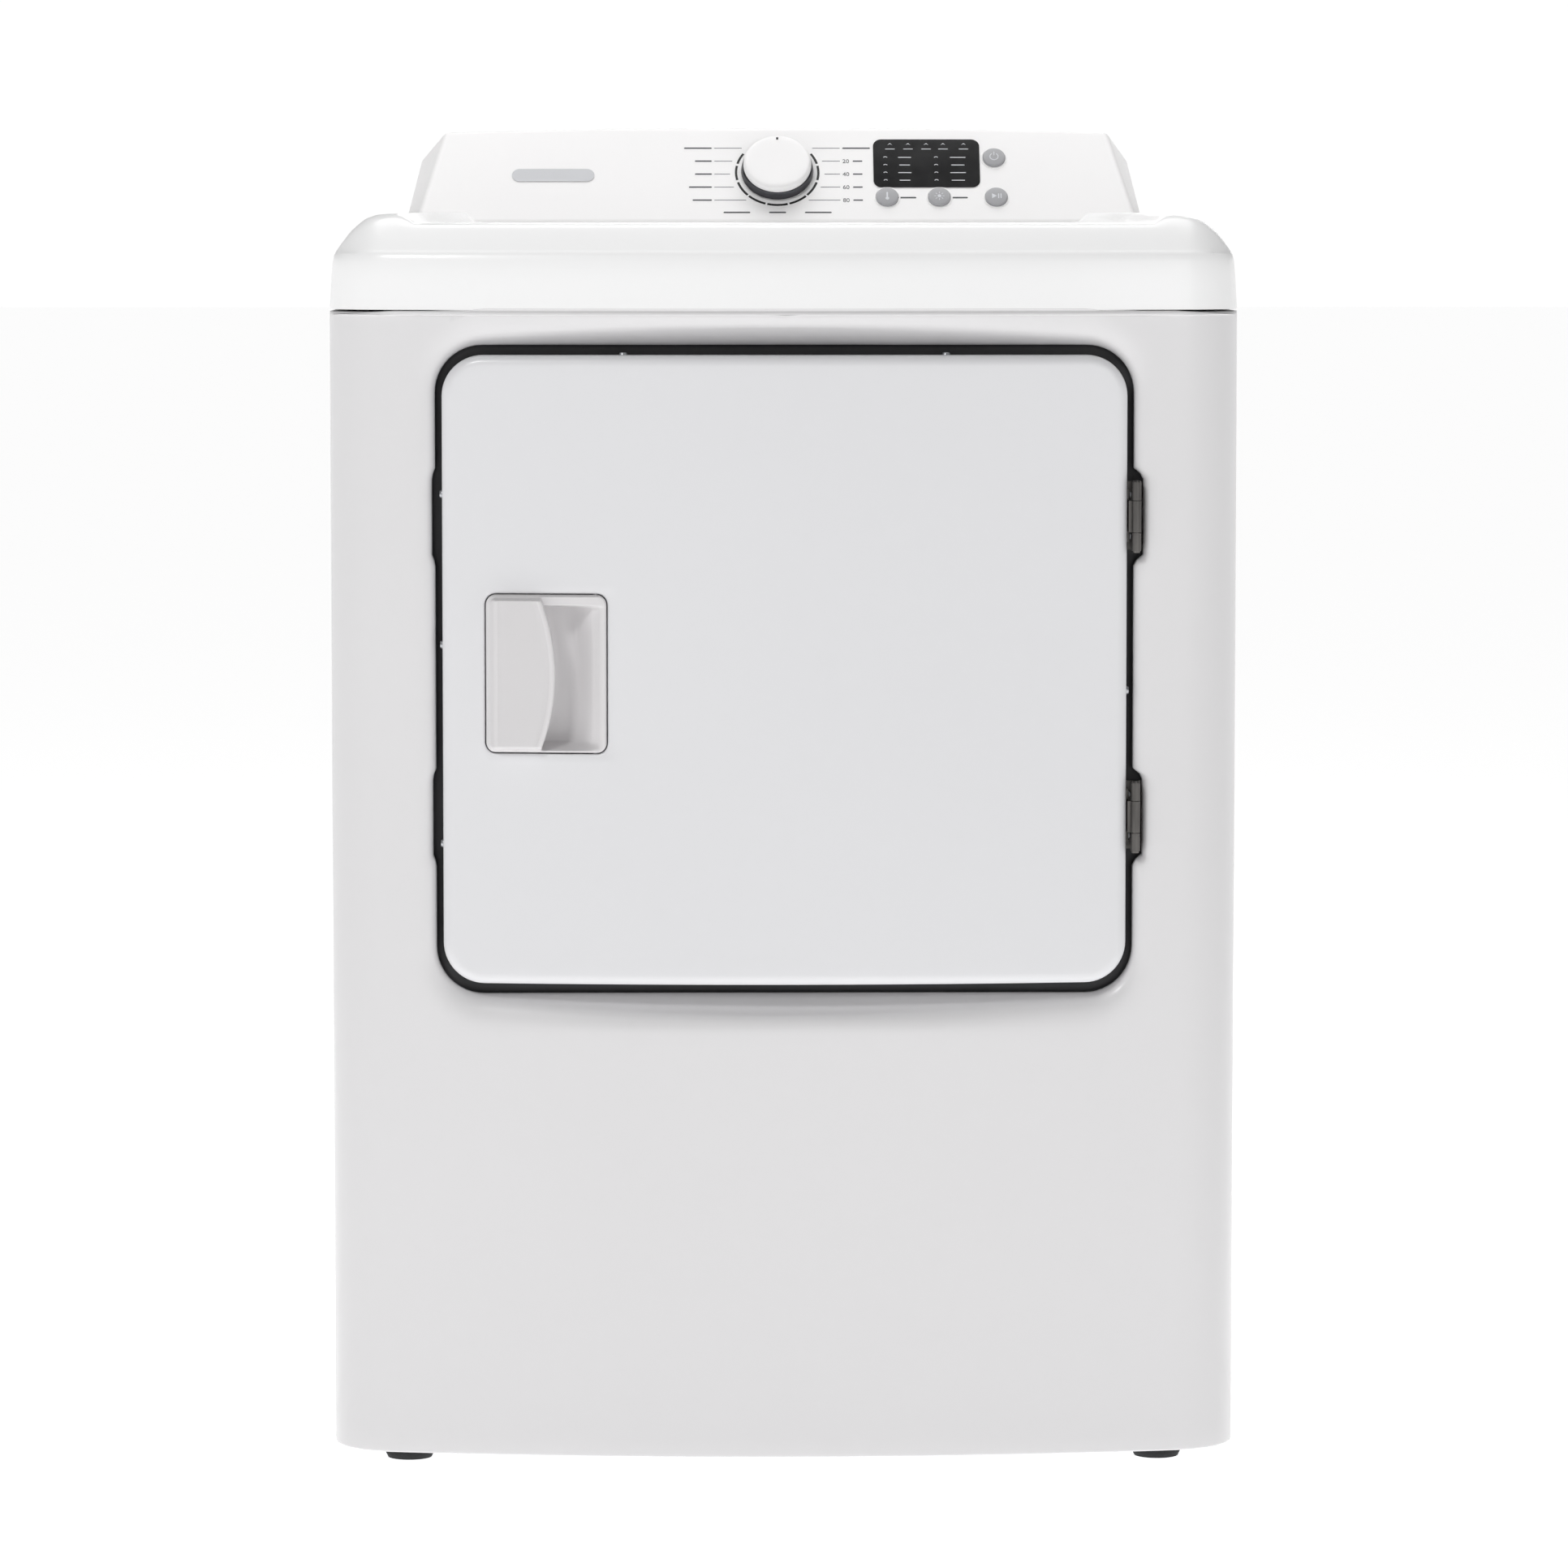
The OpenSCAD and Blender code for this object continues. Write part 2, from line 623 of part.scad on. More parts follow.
// Lint filter: frame with a finger lip, and the screens on its two faces
module lint_filter() color([0.85, 0.86, 0.88]) {
    difference() {
        box([-111, 66, 205], [111, 90, 434]);
        box([-106, 68, 210], [106, 88, 440]);
        box([-104, 60, 214], [104, 95, 420]);
    }
    for (x = [-36, 34]) box([x, 66, 210], [x + 2, 68, 424]);
    box([-111, 66, 434], [111, 71, 446]);
    box([-106, 67.4, 210], [106, 68, 430]);
    box([-106, 88, 210], [106, 88.6, 430]);
}

// ---------- drum ----------

// Turning drum: shell, rolled ribs, front lip and rear hem
module drum_shell() color([0.8, 0.81, 0.82]) {
    difference() {
        y_cyl([0, drum_z], drum_r, drum_y[0], drum_y[1]);
        y_cyl([0, drum_z], drum_r - 1.5, drum_y[0] + 1.5, drum_y[1] + 1);
        y_cyl([0, drum_z], 231.8, drum_y[0] - 1, drum_y[0] + 10);
    }
    for (y = [200, 460]) y_tube([0, drum_z], drum_r - 1.4, drum_r - 5, y, y + 12);
    y_tube([0, drum_z], 236, 231.8, drum_y[0] + 1.5, drum_y[0] + 8);
}

// Three lifting vanes fixed inside the drum
module drum_baffles() color([0.88, 0.88, 0.88]) for (a = [0, 120, 240])
    translate([0, 0, drum_z]) rotate([0, a, 0]) translate([0, 560, 0]) rotate([90, 0, 0])
        linear_extrude(400) polygon([[-32, 291], [-16, 242], [-10, 236], [10, 236], [16, 242],
            [32, 291], [0, 294]]);

// Flat belt around the drum and the motor pulley
module drum_belt() color([0.1, 0.1, 0.1]) translate([0, belt_y[1], 0]) rotate([90, 0, 0])
    linear_extrude(belt_y[1] - belt_y[0]) difference() {
        belt_path(2.8);
        belt_path(0.8);
    }

module belt_path(g) hull() {
    translate([0, drum_z]) circle(r = drum_r + g, $fn = 128);
    translate(motor_xz) circle(r = 12 + g, $fn = 48);
}

function bulkhead_screw_pos() = [for (x = [-318, 318], z = [300, 500, 700, 840]) [x, z]];

function roller_at(s) = let (d = drum_r + 0.4 + roller_r)
    [s * d * sin(roller_a), drum_z - d * cos(roller_a)];

// Rubber-tyred roller under the drum
module roller(p, y) y_tube(p, roller_r, 6.05, y, y + 22);

module roller_left() color([0.2, 0.2, 0.2]) roller(roller_at(-1), 560);

module roller_right() color([0.2, 0.2, 0.2]) roller(roller_at(1), 560);

// Axles of the rollers, fixed to the rear bulkhead
module roller_axles() color([0.6, 0.61, 0.62]) for (s = [-1, 1]) {
    y_cyl(roller_at(s), 6, 552, 612);
    y_cyl(roller_at(s), 9, 556, 559);
    y_cyl(roller_at(s), 11, 583, 605.8);
}

// Stationary rear bulkhead with the hot-air grille
module rear_bulkhead() color([0.72, 0.74, 0.75]) difference() {
    xz_slab([-336, 336, 200, 884], 20, 606, 607.2);
    for (i = [-4:4], j = [0:5]) y_cyl([22 * i, 665 + 22 * j], 6, 600, 620);
    for (s = [-1, 1]) y_cyl(roller_at(s), 6.1, 600, 620);
}

// Heater housing behind the rear bulkhead, open towards the grille
module heater_box() color([0.76, 0.77, 0.78]) difference() {
    box([-125, 607.3, 560], [125, 672, 812]);
    box([-123.8, 600, 561.2], [123.8, 670.8, 810.8]);
    for (i = [-3:3]) translate([30 * i, 640, 550]) cylinder(r = 9, h = 20);
}

// Resistance wire bent into a serpentine, on two ceramic bars
module heater_coil() color([0.55, 0.45, 0.4]) {
    for (x = [-60, 60]) box([x - 4, 645, 575], [x + 4, 670.6, 800]);
    for (i = [0:6]) translate([-90, 642, 600 + 26 * i]) rotate([0, 90, 0]) cylinder(r = 4, h = 180);
    for (i = [0:5]) translate([i % 2 == 0 ? 90 : -90, 642, 613 + 26 * i])
        rotate([90, 0, 0]) rotate([0, 0, i % 2 == 0 ? -90 : 90])
            rotate_extrude(angle = 180) translate([13, 0]) circle(r = 4);
}

// ---------- motor, blower and exhaust ----------

// Motor frame with end bells bored for the shaft
module motor_stator() color([0.4, 0.42, 0.44]) difference() {
    y_cyl(motor_xz, 66, 190, 320);
    y_cyl(motor_xz, 40, 198, 312);
    y_cyl(motor_xz, 6.05, 180, 330);
    for (a = [0:45:315]) y_cyl(motor_xz + 56 * [cos(a), sin(a)], 6, 180, 198);
}

// Cradle that holds the motor, and the pivot bracket of the idler arm
module motor_bracket() color([0.6, 0.62, 0.63]) {
    motor_cradle();
    idler_pivot_bracket();
}

module motor_cradle() difference() {
    union() {
        for (y = [196, 302]) box([motor_xz[0] - 74, y, 24], [motor_xz[0] + 74, y + 10, 140]);
        box([motor_xz[0] - 90, 190, 24], [motor_xz[0] + 90, 320, 27]);
    }
    y_cyl(motor_xz, 66, 180, 330);
    for (p = base_screw_pos) translate([p[0], p[1], 20]) cylinder(r = 2.7, h = 10);
}

// Shaft with the rotor core and the flanged belt pulley
module motor_rotor() color([0.6, 0.61, 0.62]) {
    y_cyl(motor_xz, 6, 108, 350);
    y_cyl(motor_xz, 38, 206, 304);
    y_cyl(motor_xz, 12, 330, 349);
    y_cyl(motor_xz, 16, 330, 335);
    y_cyl(motor_xz, 16, 347, 349);
}

// Radial fan wheel with a hub, a back plate, vanes and a front ring
module blower_wheel() color([0.25, 0.26, 0.28]) {
    difference() {
        union() {
            y_cyl(motor_xz, 16, 112, 148);
            y_cyl(motor_xz, 84, 145, 148);
        }
        y_cyl(motor_xz, 6, 100, 160);
    }
    for (a = [0:20:340]) translate([motor_xz[0], 112, motor_xz[1]]) rotate([0, a, 0])
        translate([50, 0, -1]) cube([33, 33.5, 2]);
    y_tube(motor_xz, 84, 76, 109, 112.5);
}

// Scroll around the wheel with a side box that turns the air into the exhaust duct
module blower_housing() color([0.5, 0.52, 0.54]) difference() {
    union() {
        y_cyl(motor_xz, 94, 100, 158);
        box([motor_xz[0], 100, 42], [156, 158, 154]);
    }
    y_cyl(motor_xz, 90, 103, 155);
    box([motor_xz[0], 103, 44.5], [153.5, 155, 151.5]);
    y_cyl(motor_xz, 46, 90, 110);
    y_cyl(motor_xz, 12, 150, 170);
    y_cyl(duct_xz, duct_r - 1.8, 150, 170);
}

// Exhaust duct from the blower, with the collar that stands out of the back
module exhaust_duct() color([0.78, 0.79, 0.8]) {
    y_tube(duct_xz, duct_r - 0.8, duct_r - 1.8, 158, depth + 1);
    y_tube(duct_xz, duct_r, duct_r - 1.8, depth + 1, depth + collar_len);
    y_tube(duct_xz, duct_r + 4, duct_r - 1.5, 158.1, 160);
}

module idler_pivot_bracket() {
    box([idler_pivot[0] - 22, 356.5, 24], [idler_pivot[0] + 22, 359, 78]);
    box([idler_pivot[0] - 22, 356.5, 24], [idler_pivot[0] + 22, 400, 26.5]);
    y_cyl(idler_pivot, 5, 349, 357);
    y_cyl(idler_pivot, 8, 346.5, 349.4);
}

// Sprung arm that carries the idler pulley
module idler_arm() color([0.62, 0.63, 0.64]) {
    translate([0, 355.5, 0]) rotate([90, 0, 0]) linear_extrude(4) difference() {
        hull() {
            translate(idler_pivot) circle(r = 13);
            translate(idler_centre) circle(r = 11);
        }
        translate(idler_pivot) circle(r = 5.05);
    }
    y_cyl(idler_centre, 5, 330, 352);
    y_cyl(idler_centre, 8, 328, 331);
}

module idler_pulley() color([0.85, 0.85, 0.86]) difference() {
    y_cyl(idler_centre, 22, 333, 349);
    y_cyl(idler_centre, 5.05, 330, 352);
    y_tube(idler_centre, 18, 9, 330, 336);
}

// ---------- supply and services ----------

// Supply terminal block under its cover plate
module terminal_box() color([0.7, 0.72, 0.73]) {
    box([212, 655, 745], [268, 686, 800]);
    for (x = [224, 240, 256]) y_cyl([x, 772], 4, 685, 692);
    difference() {
        box([198, depth + 0.1, 728], [282, depth + 12, 822]);
        box([199.2, depth - 1, 729.2], [280.8, depth + 10.8, 820.8]);
    }
}

// Bush that lines the supply cord's hole
module cord_grommet() color([0.08, 0.08, 0.08]) difference() {
    union() {
        y_cyl([240, 700], 15, depth - 7, depth + 5);
        y_cyl([240, 700], 19, depth + 0.2, depth + 5);
        y_cyl([240, 700], 18, depth - 7, depth - 2);
    }
    y_cyl([240, 700], 11.1, depth - 20, depth + 20);
}

// Levelling leg: rubber shoe, flange and threaded stem
module foot(p) translate([p[0], p[1], 0]) {
    cylinder(r1 = 17, r2 = 19, h = 4);
    translate([0, 0, 4]) cylinder(r = 19, h = 5);
    translate([0, 0, 9]) cylinder(r1 = 16, r2 = 10, h = 4);
    cylinder(r = 5, h = 66);
}

module foot_front_left() color([0.12, 0.12, 0.12]) foot(foot_pos[0]);

module foot_front_right() color([0.12, 0.12, 0.12]) foot(foot_pos[1]);

module foot_rear_left() color([0.12, 0.12, 0.12]) foot(foot_pos[2]);

module foot_rear_right() color([0.12, 0.12, 0.12]) foot(foot_pos[3]);

// Screws of the panels, bulkhead, console, motor and hinges, and the levelling legs' nuts
module frame_fasteners() color([0.6, 0.61, 0.62]) {
    for (p = rear_screw_pos()) rear_screw(p, depth, 4.2, 5);
    for (x = console_screw_x) rear_screw([x, 1008], 682.2, 3.6, 6);
    for (p = bulkhead_screw_pos()) screw_y(p, 50, 4, 8);
    for (z = hinge_z, q = [-16, 16]) screw_y([frame_screw_x, z + q], recess_y - 2.2, 3, 8);
    for (p = base_screw_pos) translate([p[0], p[1], 24]) {
        cylinder(r = 2.5, h = 4);
        translate([0, 0, 3]) cylinder(r = 5, h = 3);
    }
    for (p = foot_pos) translate([p[0], p[1], 32.1]) difference() {
        cylinder(r = 10, h = 6, $fn = 6);
        translate([0, 0, -1]) cylinder(r = 5.05, h = 10);
    }
}

// ---------- assembly ----------

module place() translate([0, -mid_y, 0]) children();

place() base_pan();
place() front_panel();
place() side_panel_left();
place() side_panel_right();
place() rear_panel();
place() worktop();
place() console_body();
place() console_back();
place() display_window();
place() control_board();
place() selector_switch();
place() badge_plate();
place() knob_cap();
place() knob_skirt();
place() button_power();
place() button_start();
place() button_temp();
place() button_dryness();
place() door_outer();
place() door_inner();
place() door_seal();
place() handle_cup();
place() handle_grip();
place() door_strike();
place() hinge_frame_leaves();
place() hinge_door_leaves();
place() door_screws();
place() frame_fasteners();
place() front_bulkhead();
place() drum_felts();
place() drum_lamp();
place() sensor_bars();
place() door_catch();
place() door_switch();
place() switch_plunger();
place() lint_chute();
place() lint_filter();
place() drum_shell();
place() drum_baffles();
place() drum_belt();
place() rear_bulkhead();
place() heater_box();
place() heater_coil();
place() roller_axles();
place() roller_left();
place() roller_right();
place() motor_stator();
place() motor_bracket();
place() motor_rotor();
place() blower_wheel();
place() blower_housing();
place() exhaust_duct();
place() idler_arm();
place() idler_pulley();
place() terminal_box();
place() cord_grommet();
place() foot_front_left();
place() foot_front_right();
place() foot_rear_left();
place() foot_rear_right();
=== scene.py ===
import math
import bpy
import bmesh
import numpy as np
from mathutils import Matrix, Vector

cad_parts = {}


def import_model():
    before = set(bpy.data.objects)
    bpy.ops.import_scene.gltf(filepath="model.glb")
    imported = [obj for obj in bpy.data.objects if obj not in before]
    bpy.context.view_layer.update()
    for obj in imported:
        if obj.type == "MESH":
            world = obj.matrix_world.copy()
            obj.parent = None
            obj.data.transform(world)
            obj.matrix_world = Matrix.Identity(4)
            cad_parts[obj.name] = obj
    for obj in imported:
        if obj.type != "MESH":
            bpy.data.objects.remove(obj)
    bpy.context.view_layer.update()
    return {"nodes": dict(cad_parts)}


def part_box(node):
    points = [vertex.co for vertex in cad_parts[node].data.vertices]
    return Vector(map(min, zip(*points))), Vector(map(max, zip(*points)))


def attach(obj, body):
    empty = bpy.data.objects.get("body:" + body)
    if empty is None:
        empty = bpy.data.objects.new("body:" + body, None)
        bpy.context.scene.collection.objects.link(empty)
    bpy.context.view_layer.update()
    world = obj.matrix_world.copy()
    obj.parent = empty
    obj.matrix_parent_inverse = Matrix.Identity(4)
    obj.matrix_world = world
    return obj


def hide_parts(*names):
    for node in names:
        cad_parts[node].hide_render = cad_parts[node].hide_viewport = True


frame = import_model()
nodes = frame["nodes"]

# ---------- shared frame ----------
# Work in millimetres from the bow's apex, as the CAD modules do, and convert once.
MM = 0.001
APEX_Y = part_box("front_panel")[0].y
BOW_R = 1700.0
panel_lo, panel_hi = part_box("front_panel")
door_lo, door_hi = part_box("door_outer")
cup_lo, cup_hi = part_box("handle_cup")
HALF = panel_hi.x / MM
PANEL_Z = (panel_lo.z / MM, panel_hi.z / MM)
DOOR = (door_lo.x / MM, door_hi.x / MM, door_lo.z / MM, door_hi.z / MM)
CUP = (cup_lo.x / MM, cup_hi.x / MM, cup_lo.z / MM, cup_hi.z / MM)
BACK_Y = (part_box("rear_panel")[1].y - APEX_Y) / MM
LID_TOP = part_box("worktop")[1].z / MM
CORNER_R = 55.0
SKIRT_FOOT_Z = 890.0    # lower edge of the worktop's skirt
LID_WALL = 1.4          # thickness of the worktop's rear wall
DOOR_PROUD = 4.0


def world(x, y, z):
    return (x * MM, APEX_Y + y * MM, z * MM)


def bow(x, t=0.0):
    return BOW_R - math.sqrt((BOW_R - t) ** 2 - x * x)


def smooth(a, b, v):
    t = min(max((v - a) / (b - a), 0.0), 1.0)
    return t * t * (3 - 2 * t)


def lerp(a, b, t):
    return a + (b - a) * t


def curve_at(pairs, v):
    xs = [p[0] for p in pairs]
    ys = [p[1] for p in pairs]
    return float(np.interp(v, xs, ys))


# ---------- materials ----------
def material(name, colour, rough=0.4, metal=0.0, spread=0.015, scale=9.0, bump=0.03,
             bump_scale=600.0, stretch=(1, 1, 1), rough_spread=0.04, coat=0.0, wear=0.0):
    """Principled surface with slow colour drift, fine grain and optional edge wear."""
    m = bpy.data.materials.new(name)
    m.use_nodes = True
    nt = m.node_tree
    nt.nodes.clear()
    out = nt.nodes.new("ShaderNodeOutputMaterial")
    bsdf = nt.nodes.new("ShaderNodeBsdfPrincipled")
    nt.links.new(bsdf.outputs[0], out.inputs[0])
    bsdf.inputs["Metallic"].default_value = metal
    bsdf.inputs["Coat Weight"].default_value = coat
    bsdf.inputs["Coat Roughness"].default_value = 0.12
    coord = nt.nodes.new("ShaderNodeTexCoord")
    mapping = nt.nodes.new("ShaderNodeMapping")
    mapping.inputs["Scale"].default_value = stretch
    nt.links.new(coord.outputs["Object"], mapping.inputs["Vector"])
    drift = nt.nodes.new("ShaderNodeTexNoise")
    drift.inputs["Scale"].default_value = scale
    drift.inputs["Detail"].default_value = 4
    nt.links.new(mapping.outputs[0], drift.inputs["Vector"])
    ramp = nt.nodes.new("ShaderNodeValToRGB")
    lo = [c * (1 - spread) for c in colour] + [1]
    hi = [min(c * (1 + spread), 1) for c in colour] + [1]
    ramp.color_ramp.elements[0].position = 0.3
    ramp.color_ramp.elements[1].position = 0.7
    ramp.color_ramp.elements[0].color = lo
    ramp.color_ramp.elements[1].color = hi
    nt.links.new(drift.outputs["Fac"], ramp.inputs["Fac"])
    tint = ramp.outputs["Color"]
    if wear:
        geo = nt.nodes.new("ShaderNodeNewGeometry")
        edge = nt.nodes.new("ShaderNodeMapRange")
        edge.inputs["From Min"].default_value = 0.52
        edge.inputs["From Max"].default_value = 0.62
        edge.inputs["To Max"].default_value = wear
        nt.links.new(geo.outputs["Pointiness"], edge.inputs["Value"])
        mix = nt.nodes.new("ShaderNodeMix")
        mix.data_type = "RGBA"
        nt.links.new(edge.outputs[0], mix.inputs[0])
        nt.links.new(tint, mix.inputs[6])
        mix.inputs[7].default_value = [min(c * 1.5 + 0.03, 1) for c in colour] + [1]
        tint = mix.outputs[2]
    nt.links.new(tint, bsdf.inputs["Base Color"])
    grain = nt.nodes.new("ShaderNodeTexNoise")
    grain.inputs["Scale"].default_value = bump_scale
    grain.inputs["Detail"].default_value = 3
    nt.links.new(mapping.outputs[0], grain.inputs["Vector"])
    rr = nt.nodes.new("ShaderNodeMapRange")
    rr.inputs["To Min"].default_value = max(rough - rough_spread, 0.02)
    rr.inputs["To Max"].default_value = min(rough + rough_spread, 1)
    nt.links.new(grain.outputs["Fac"], rr.inputs["Value"])
    nt.links.new(rr.outputs[0], bsdf.inputs["Roughness"])
    bmp = nt.nodes.new("ShaderNodeBump")
    bmp.inputs["Strength"].default_value = bump
    bmp.inputs["Distance"].default_value = 0.0004
    nt.links.new(grain.outputs["Fac"], bmp.inputs["Height"])
    nt.links.new(bmp.outputs[0], bsdf.inputs["Normal"])
    return m


def lin(r, g, b):
    """sRGB 0-255 to linear."""
    out = []
    for c in (r, g, b):
        c /= 255.0
        out.append(c / 12.92 if c <= 0.04045 else ((c + 0.055) / 1.055) ** 2.4)
    return tuple(out)


ENAMEL = dict(rough=0.36, spread=0.006, scale=3.0, bump=0.05, bump_scale=420.0, coat=0.25)
MATS = {
    "white_paint": material("enamel_body", lin(222, 221, 222), **ENAMEL),
    # painted shade: dark colour for the foot of the door recess, standing in for the shade in the
    # deep gap round the door
    "painted_gap_shade": material("painted_gap_shade_band", lin(62, 62, 64), rough=0.6, spread=0.08,
                            bump=0.15, bump_scale=900.0),
    "door_paint": material("enamel_door", lin(223, 223, 225), **ENAMEL),
    "white_top": material("enamel_top", lin(249, 249, 249), **ENAMEL),
    "white_plastic": material("white_plastic", lin(249, 248, 248), rough=0.46, spread=0.01,
                              bump=0.08, bump_scale=900.0),
    "grey_plastic": material("grip_plastic", lin(219, 217, 218), rough=0.5, spread=0.015,
                             bump=0.12, bump_scale=1400.0),
    "plate_plastic": material("grip_plate", lin(213, 211, 212), rough=0.58, spread=0.015,
                              bump=0.25, bump_scale=2200.0),
    "button_grey": material("button_grey", lin(166, 166, 169), rough=0.42, spread=0.02,
                            bump=0.1, bump_scale=1500.0, wear=0.15),
    "display_black": material("display_glass", lin(9, 9, 11), rough=0.14, spread=0.1,
                              bump=0.004, bump_scale=60.0),
    "board": material("circuit_board", lin(34, 88, 52), rough=0.45, spread=0.15, scale=60,
                      bump=0.3, bump_scale=500.0),
    "dark_plastic": material("dark_plastic", lin(48, 48, 51), rough=0.5, spread=0.06,
                             bump=0.15, bump_scale=1200.0, wear=0.2),
    "badge": material("badge_satin", lin(196, 197, 200), rough=0.4, metal=0.25, spread=0.03,
                      bump=0.1, bump_scale=1000.0, stretch=(0.05, 1, 1)),
    "knob_metal": material("knob_metal", lin(84, 84, 88), rough=0.3, metal=0.95,
                           spread=0.05, bump=0.12, bump_scale=900.0),
    "galvanised": material("galvanised", lin(182, 186, 189), rough=0.42, metal=0.85,
                           spread=0.1, scale=45, bump=0.12, bump_scale=160.0,
                           rough_spread=0.12),
    "steel": material("steel", lin(170, 172, 175), rough=0.34, metal=0.95, spread=0.06,
                      scale=30, bump=0.1, bump_scale=700.0, stretch=(1, 0.1, 1), wear=0.25),
    "hinge_nickel": material("hinge_nickel", lin(92, 90, 88), rough=0.3, metal=0.95,
                             spread=0.3, scale=120, bump=0.2, bump_scale=500.0,
                             stretch=(1, 1, 0.15), wear=0.35),
    "drum_metal": material("drum_metal", lin(205, 206, 206), rough=0.3, metal=0.8,
                           spread=0.04, scale=20, bump=0.1, bump_scale=300.0,
                           stretch=(1, 0.08, 1)),
    "rubber_grey": material("rubber_grey", lin(150, 150, 150), rough=0.75, spread=0.05,
                            bump=0.3, bump_scale=900.0),
    "rubber_black": material("rubber_black", lin(34, 34, 35), rough=0.75, spread=0.12,
                             bump=0.3, bump_scale=900.0),
    "felt": material("felt", lin(196, 190, 178), rough=0.95, spread=0.12, scale=300,
                     bump=0.9, bump_scale=2500.0),
    "lamp": material("lamp_glass", lin(246, 240, 222), rough=0.2, spread=0.02, bump=0.02,
                     bump_scale=300.0, coat=0.5),
    "motor": material("motor_steel", lin(112, 116, 122), rough=0.4, metal=0.85, spread=0.1,
                      scale=50, bump=0.2, bump_scale=500.0, wear=0.25),
    "coil": material("heater_coil", lin(120, 92, 78), rough=0.4, metal=0.9, spread=0.2,
                     scale=200, bump=0.2, bump_scale=900.0),
    "print_grey": material("print_grey", lin(84, 85, 88), rough=0.55, spread=0.04,
                           bump=0.05, bump_scale=2000.0),
    "print_black": material("print_black", lin(14, 14, 15), rough=0.5, spread=0.08,
                            bump=0.05, bump_scale=2000.0),
    "print_light": material("print_light", lin(214, 216, 220), rough=0.5, spread=0.03,
                            bump=0.05, bump_scale=2000.0),
}


# ---------- mesh making ----------
def finish_mesh(name, verts, faces, mat, body, replaces=(), angle=32, mats2=None):
    """Mesh from millimetre points, smoothed, given its slot and tied to its body."""
    me = bpy.data.meshes.new(name)
    me.from_pydata([world(*v) for v in verts], [], faces)
    me.validate()
    me.materials.append(MATS[mat])
    bm = bmesh.new()
    bm.from_mesh(me)
    bmesh.ops.remove_doubles(bm, verts=bm.verts, dist=2e-6)
    bmesh.ops.recalc_face_normals(bm, faces=bm.faces)
    bm.to_mesh(me)
    bm.free()
    ob = bpy.data.objects.new(name, me)
    bpy.context.scene.collection.objects.link(ob)
    if mats2:
        extra, test = mats2
        me.materials.append(MATS[extra])
        for p in me.polygons:
            c = p.center
            if test(c.x / MM, (c.y - APEX_Y) / MM, c.z / MM):
                p.material_index = 1
    for p in me.polygons:
        p.use_smooth = True
    me.set_sharp_from_angle(angle=math.radians(angle))
    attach(ob, body)
    if replaces:
        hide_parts(*replaces)
    return ob


def thicken(ob, mm):
    """Sheet thickness, added behind the visible face."""
    mod = ob.modifiers.new("thickness", "SOLIDIFY")
    mod.thickness = mm * MM
    mod.offset = -1


def outward(ob, probe):
    """Turns the faces so that most of them look towards the probe direction."""
    me = ob.data
    total = sum(p.normal.dot(probe) * p.area for p in me.polygons)
    if total < 0:
        me.flip_normals()
        me.update()
    return ob


def skin(loops, closed=True):
    """Vertices and quads joining loops that have the same number of points."""
    n = len(loops[0])
    verts = [p for loop in loops for p in loop]
    faces = []
    for i in range(len(loops) - 1):
        for j in range(n if closed else n - 1):
            k = (j + 1) % n
            faces.append((i * n + j, i * n + k, (i + 1) * n + k, (i + 1) * n + j))
    return verts, faces


def rr_loop(x0, x1, z0, z1, r, ns=24, nc=10, nz=None):
    """Rounded rectangle as (x, z) points with the same structure at any size."""
    nz = nz or ns
    r = max(r, 0.05)
    corners = [((x1 - r, z1 - r), 0), ((x0 + r, z1 - r), 90),
               ((x0 + r, z0 + r), 180), ((x1 - r, z0 + r), 270)]
    pts = []
    for i, ((cx, cz), a0) in enumerate(corners):
        arc = [(cx + r * math.cos(math.radians(a0 + 90 * k / nc)),
                cz + r * math.sin(math.radians(a0 + 90 * k / nc))) for k in range(nc + 1)]
        pts += arc
        (nx, nzc), b0 = corners[(i + 1) % 4]
        start = arc[-1]
        end = (nx + r * math.cos(math.radians(b0)), nzc + r * math.sin(math.radians(b0)))
        count = ns if i % 2 == 0 else nz
        for k in range(1, count):
            t = k / count
            pts.append((lerp(start[0], end[0], t), lerp(start[1], end[1], t)))
    return pts


def grown(box, g):
    return (box[0] - g, box[1] + g, box[2] - g, box[3] + g)


def bezier(p0, p1, p2, n):
    out = []
    for k in range(1, n + 1):
        t = k / n
        out.append([(1 - t) ** 2 * a + 2 * t * (1 - t) * b + t * t * c
                    for a, b, c in zip(p0, p1, p2)])
    return out


# ---------- front panel ----------
corner_cx = HALF - CORNER_R
corner_cy = BOW_R - math.sqrt((BOW_R - CORNER_R) ** 2 - corner_cx ** 2)
tangent = math.asin(corner_cx / (BOW_R - CORNER_R))
bow_arc = BOW_R * tangent
turn_arc = CORNER_R * (math.pi / 2 - tangent)


def plan_at(u, t=0.0):
    """Point on the cabinet's plan at arc length u from the middle, moved in by t."""
    s, a = (1 if u >= 0 else -1), abs(u)
    if a <= bow_arc:
        ang = a / BOW_R
        return s * (BOW_R - t) * math.sin(ang), BOW_R - (BOW_R - t) * math.cos(ang)
    ang = tangent + (a - bow_arc) / CORNER_R
    return (s * (corner_cx + (CORNER_R - t) * math.sin(ang)),
            corner_cy - (CORNER_R - t) * math.cos(ang))


def u_of_x(x):
    return BOW_R * math.asin(max(-1, min(1, x / BOW_R)))


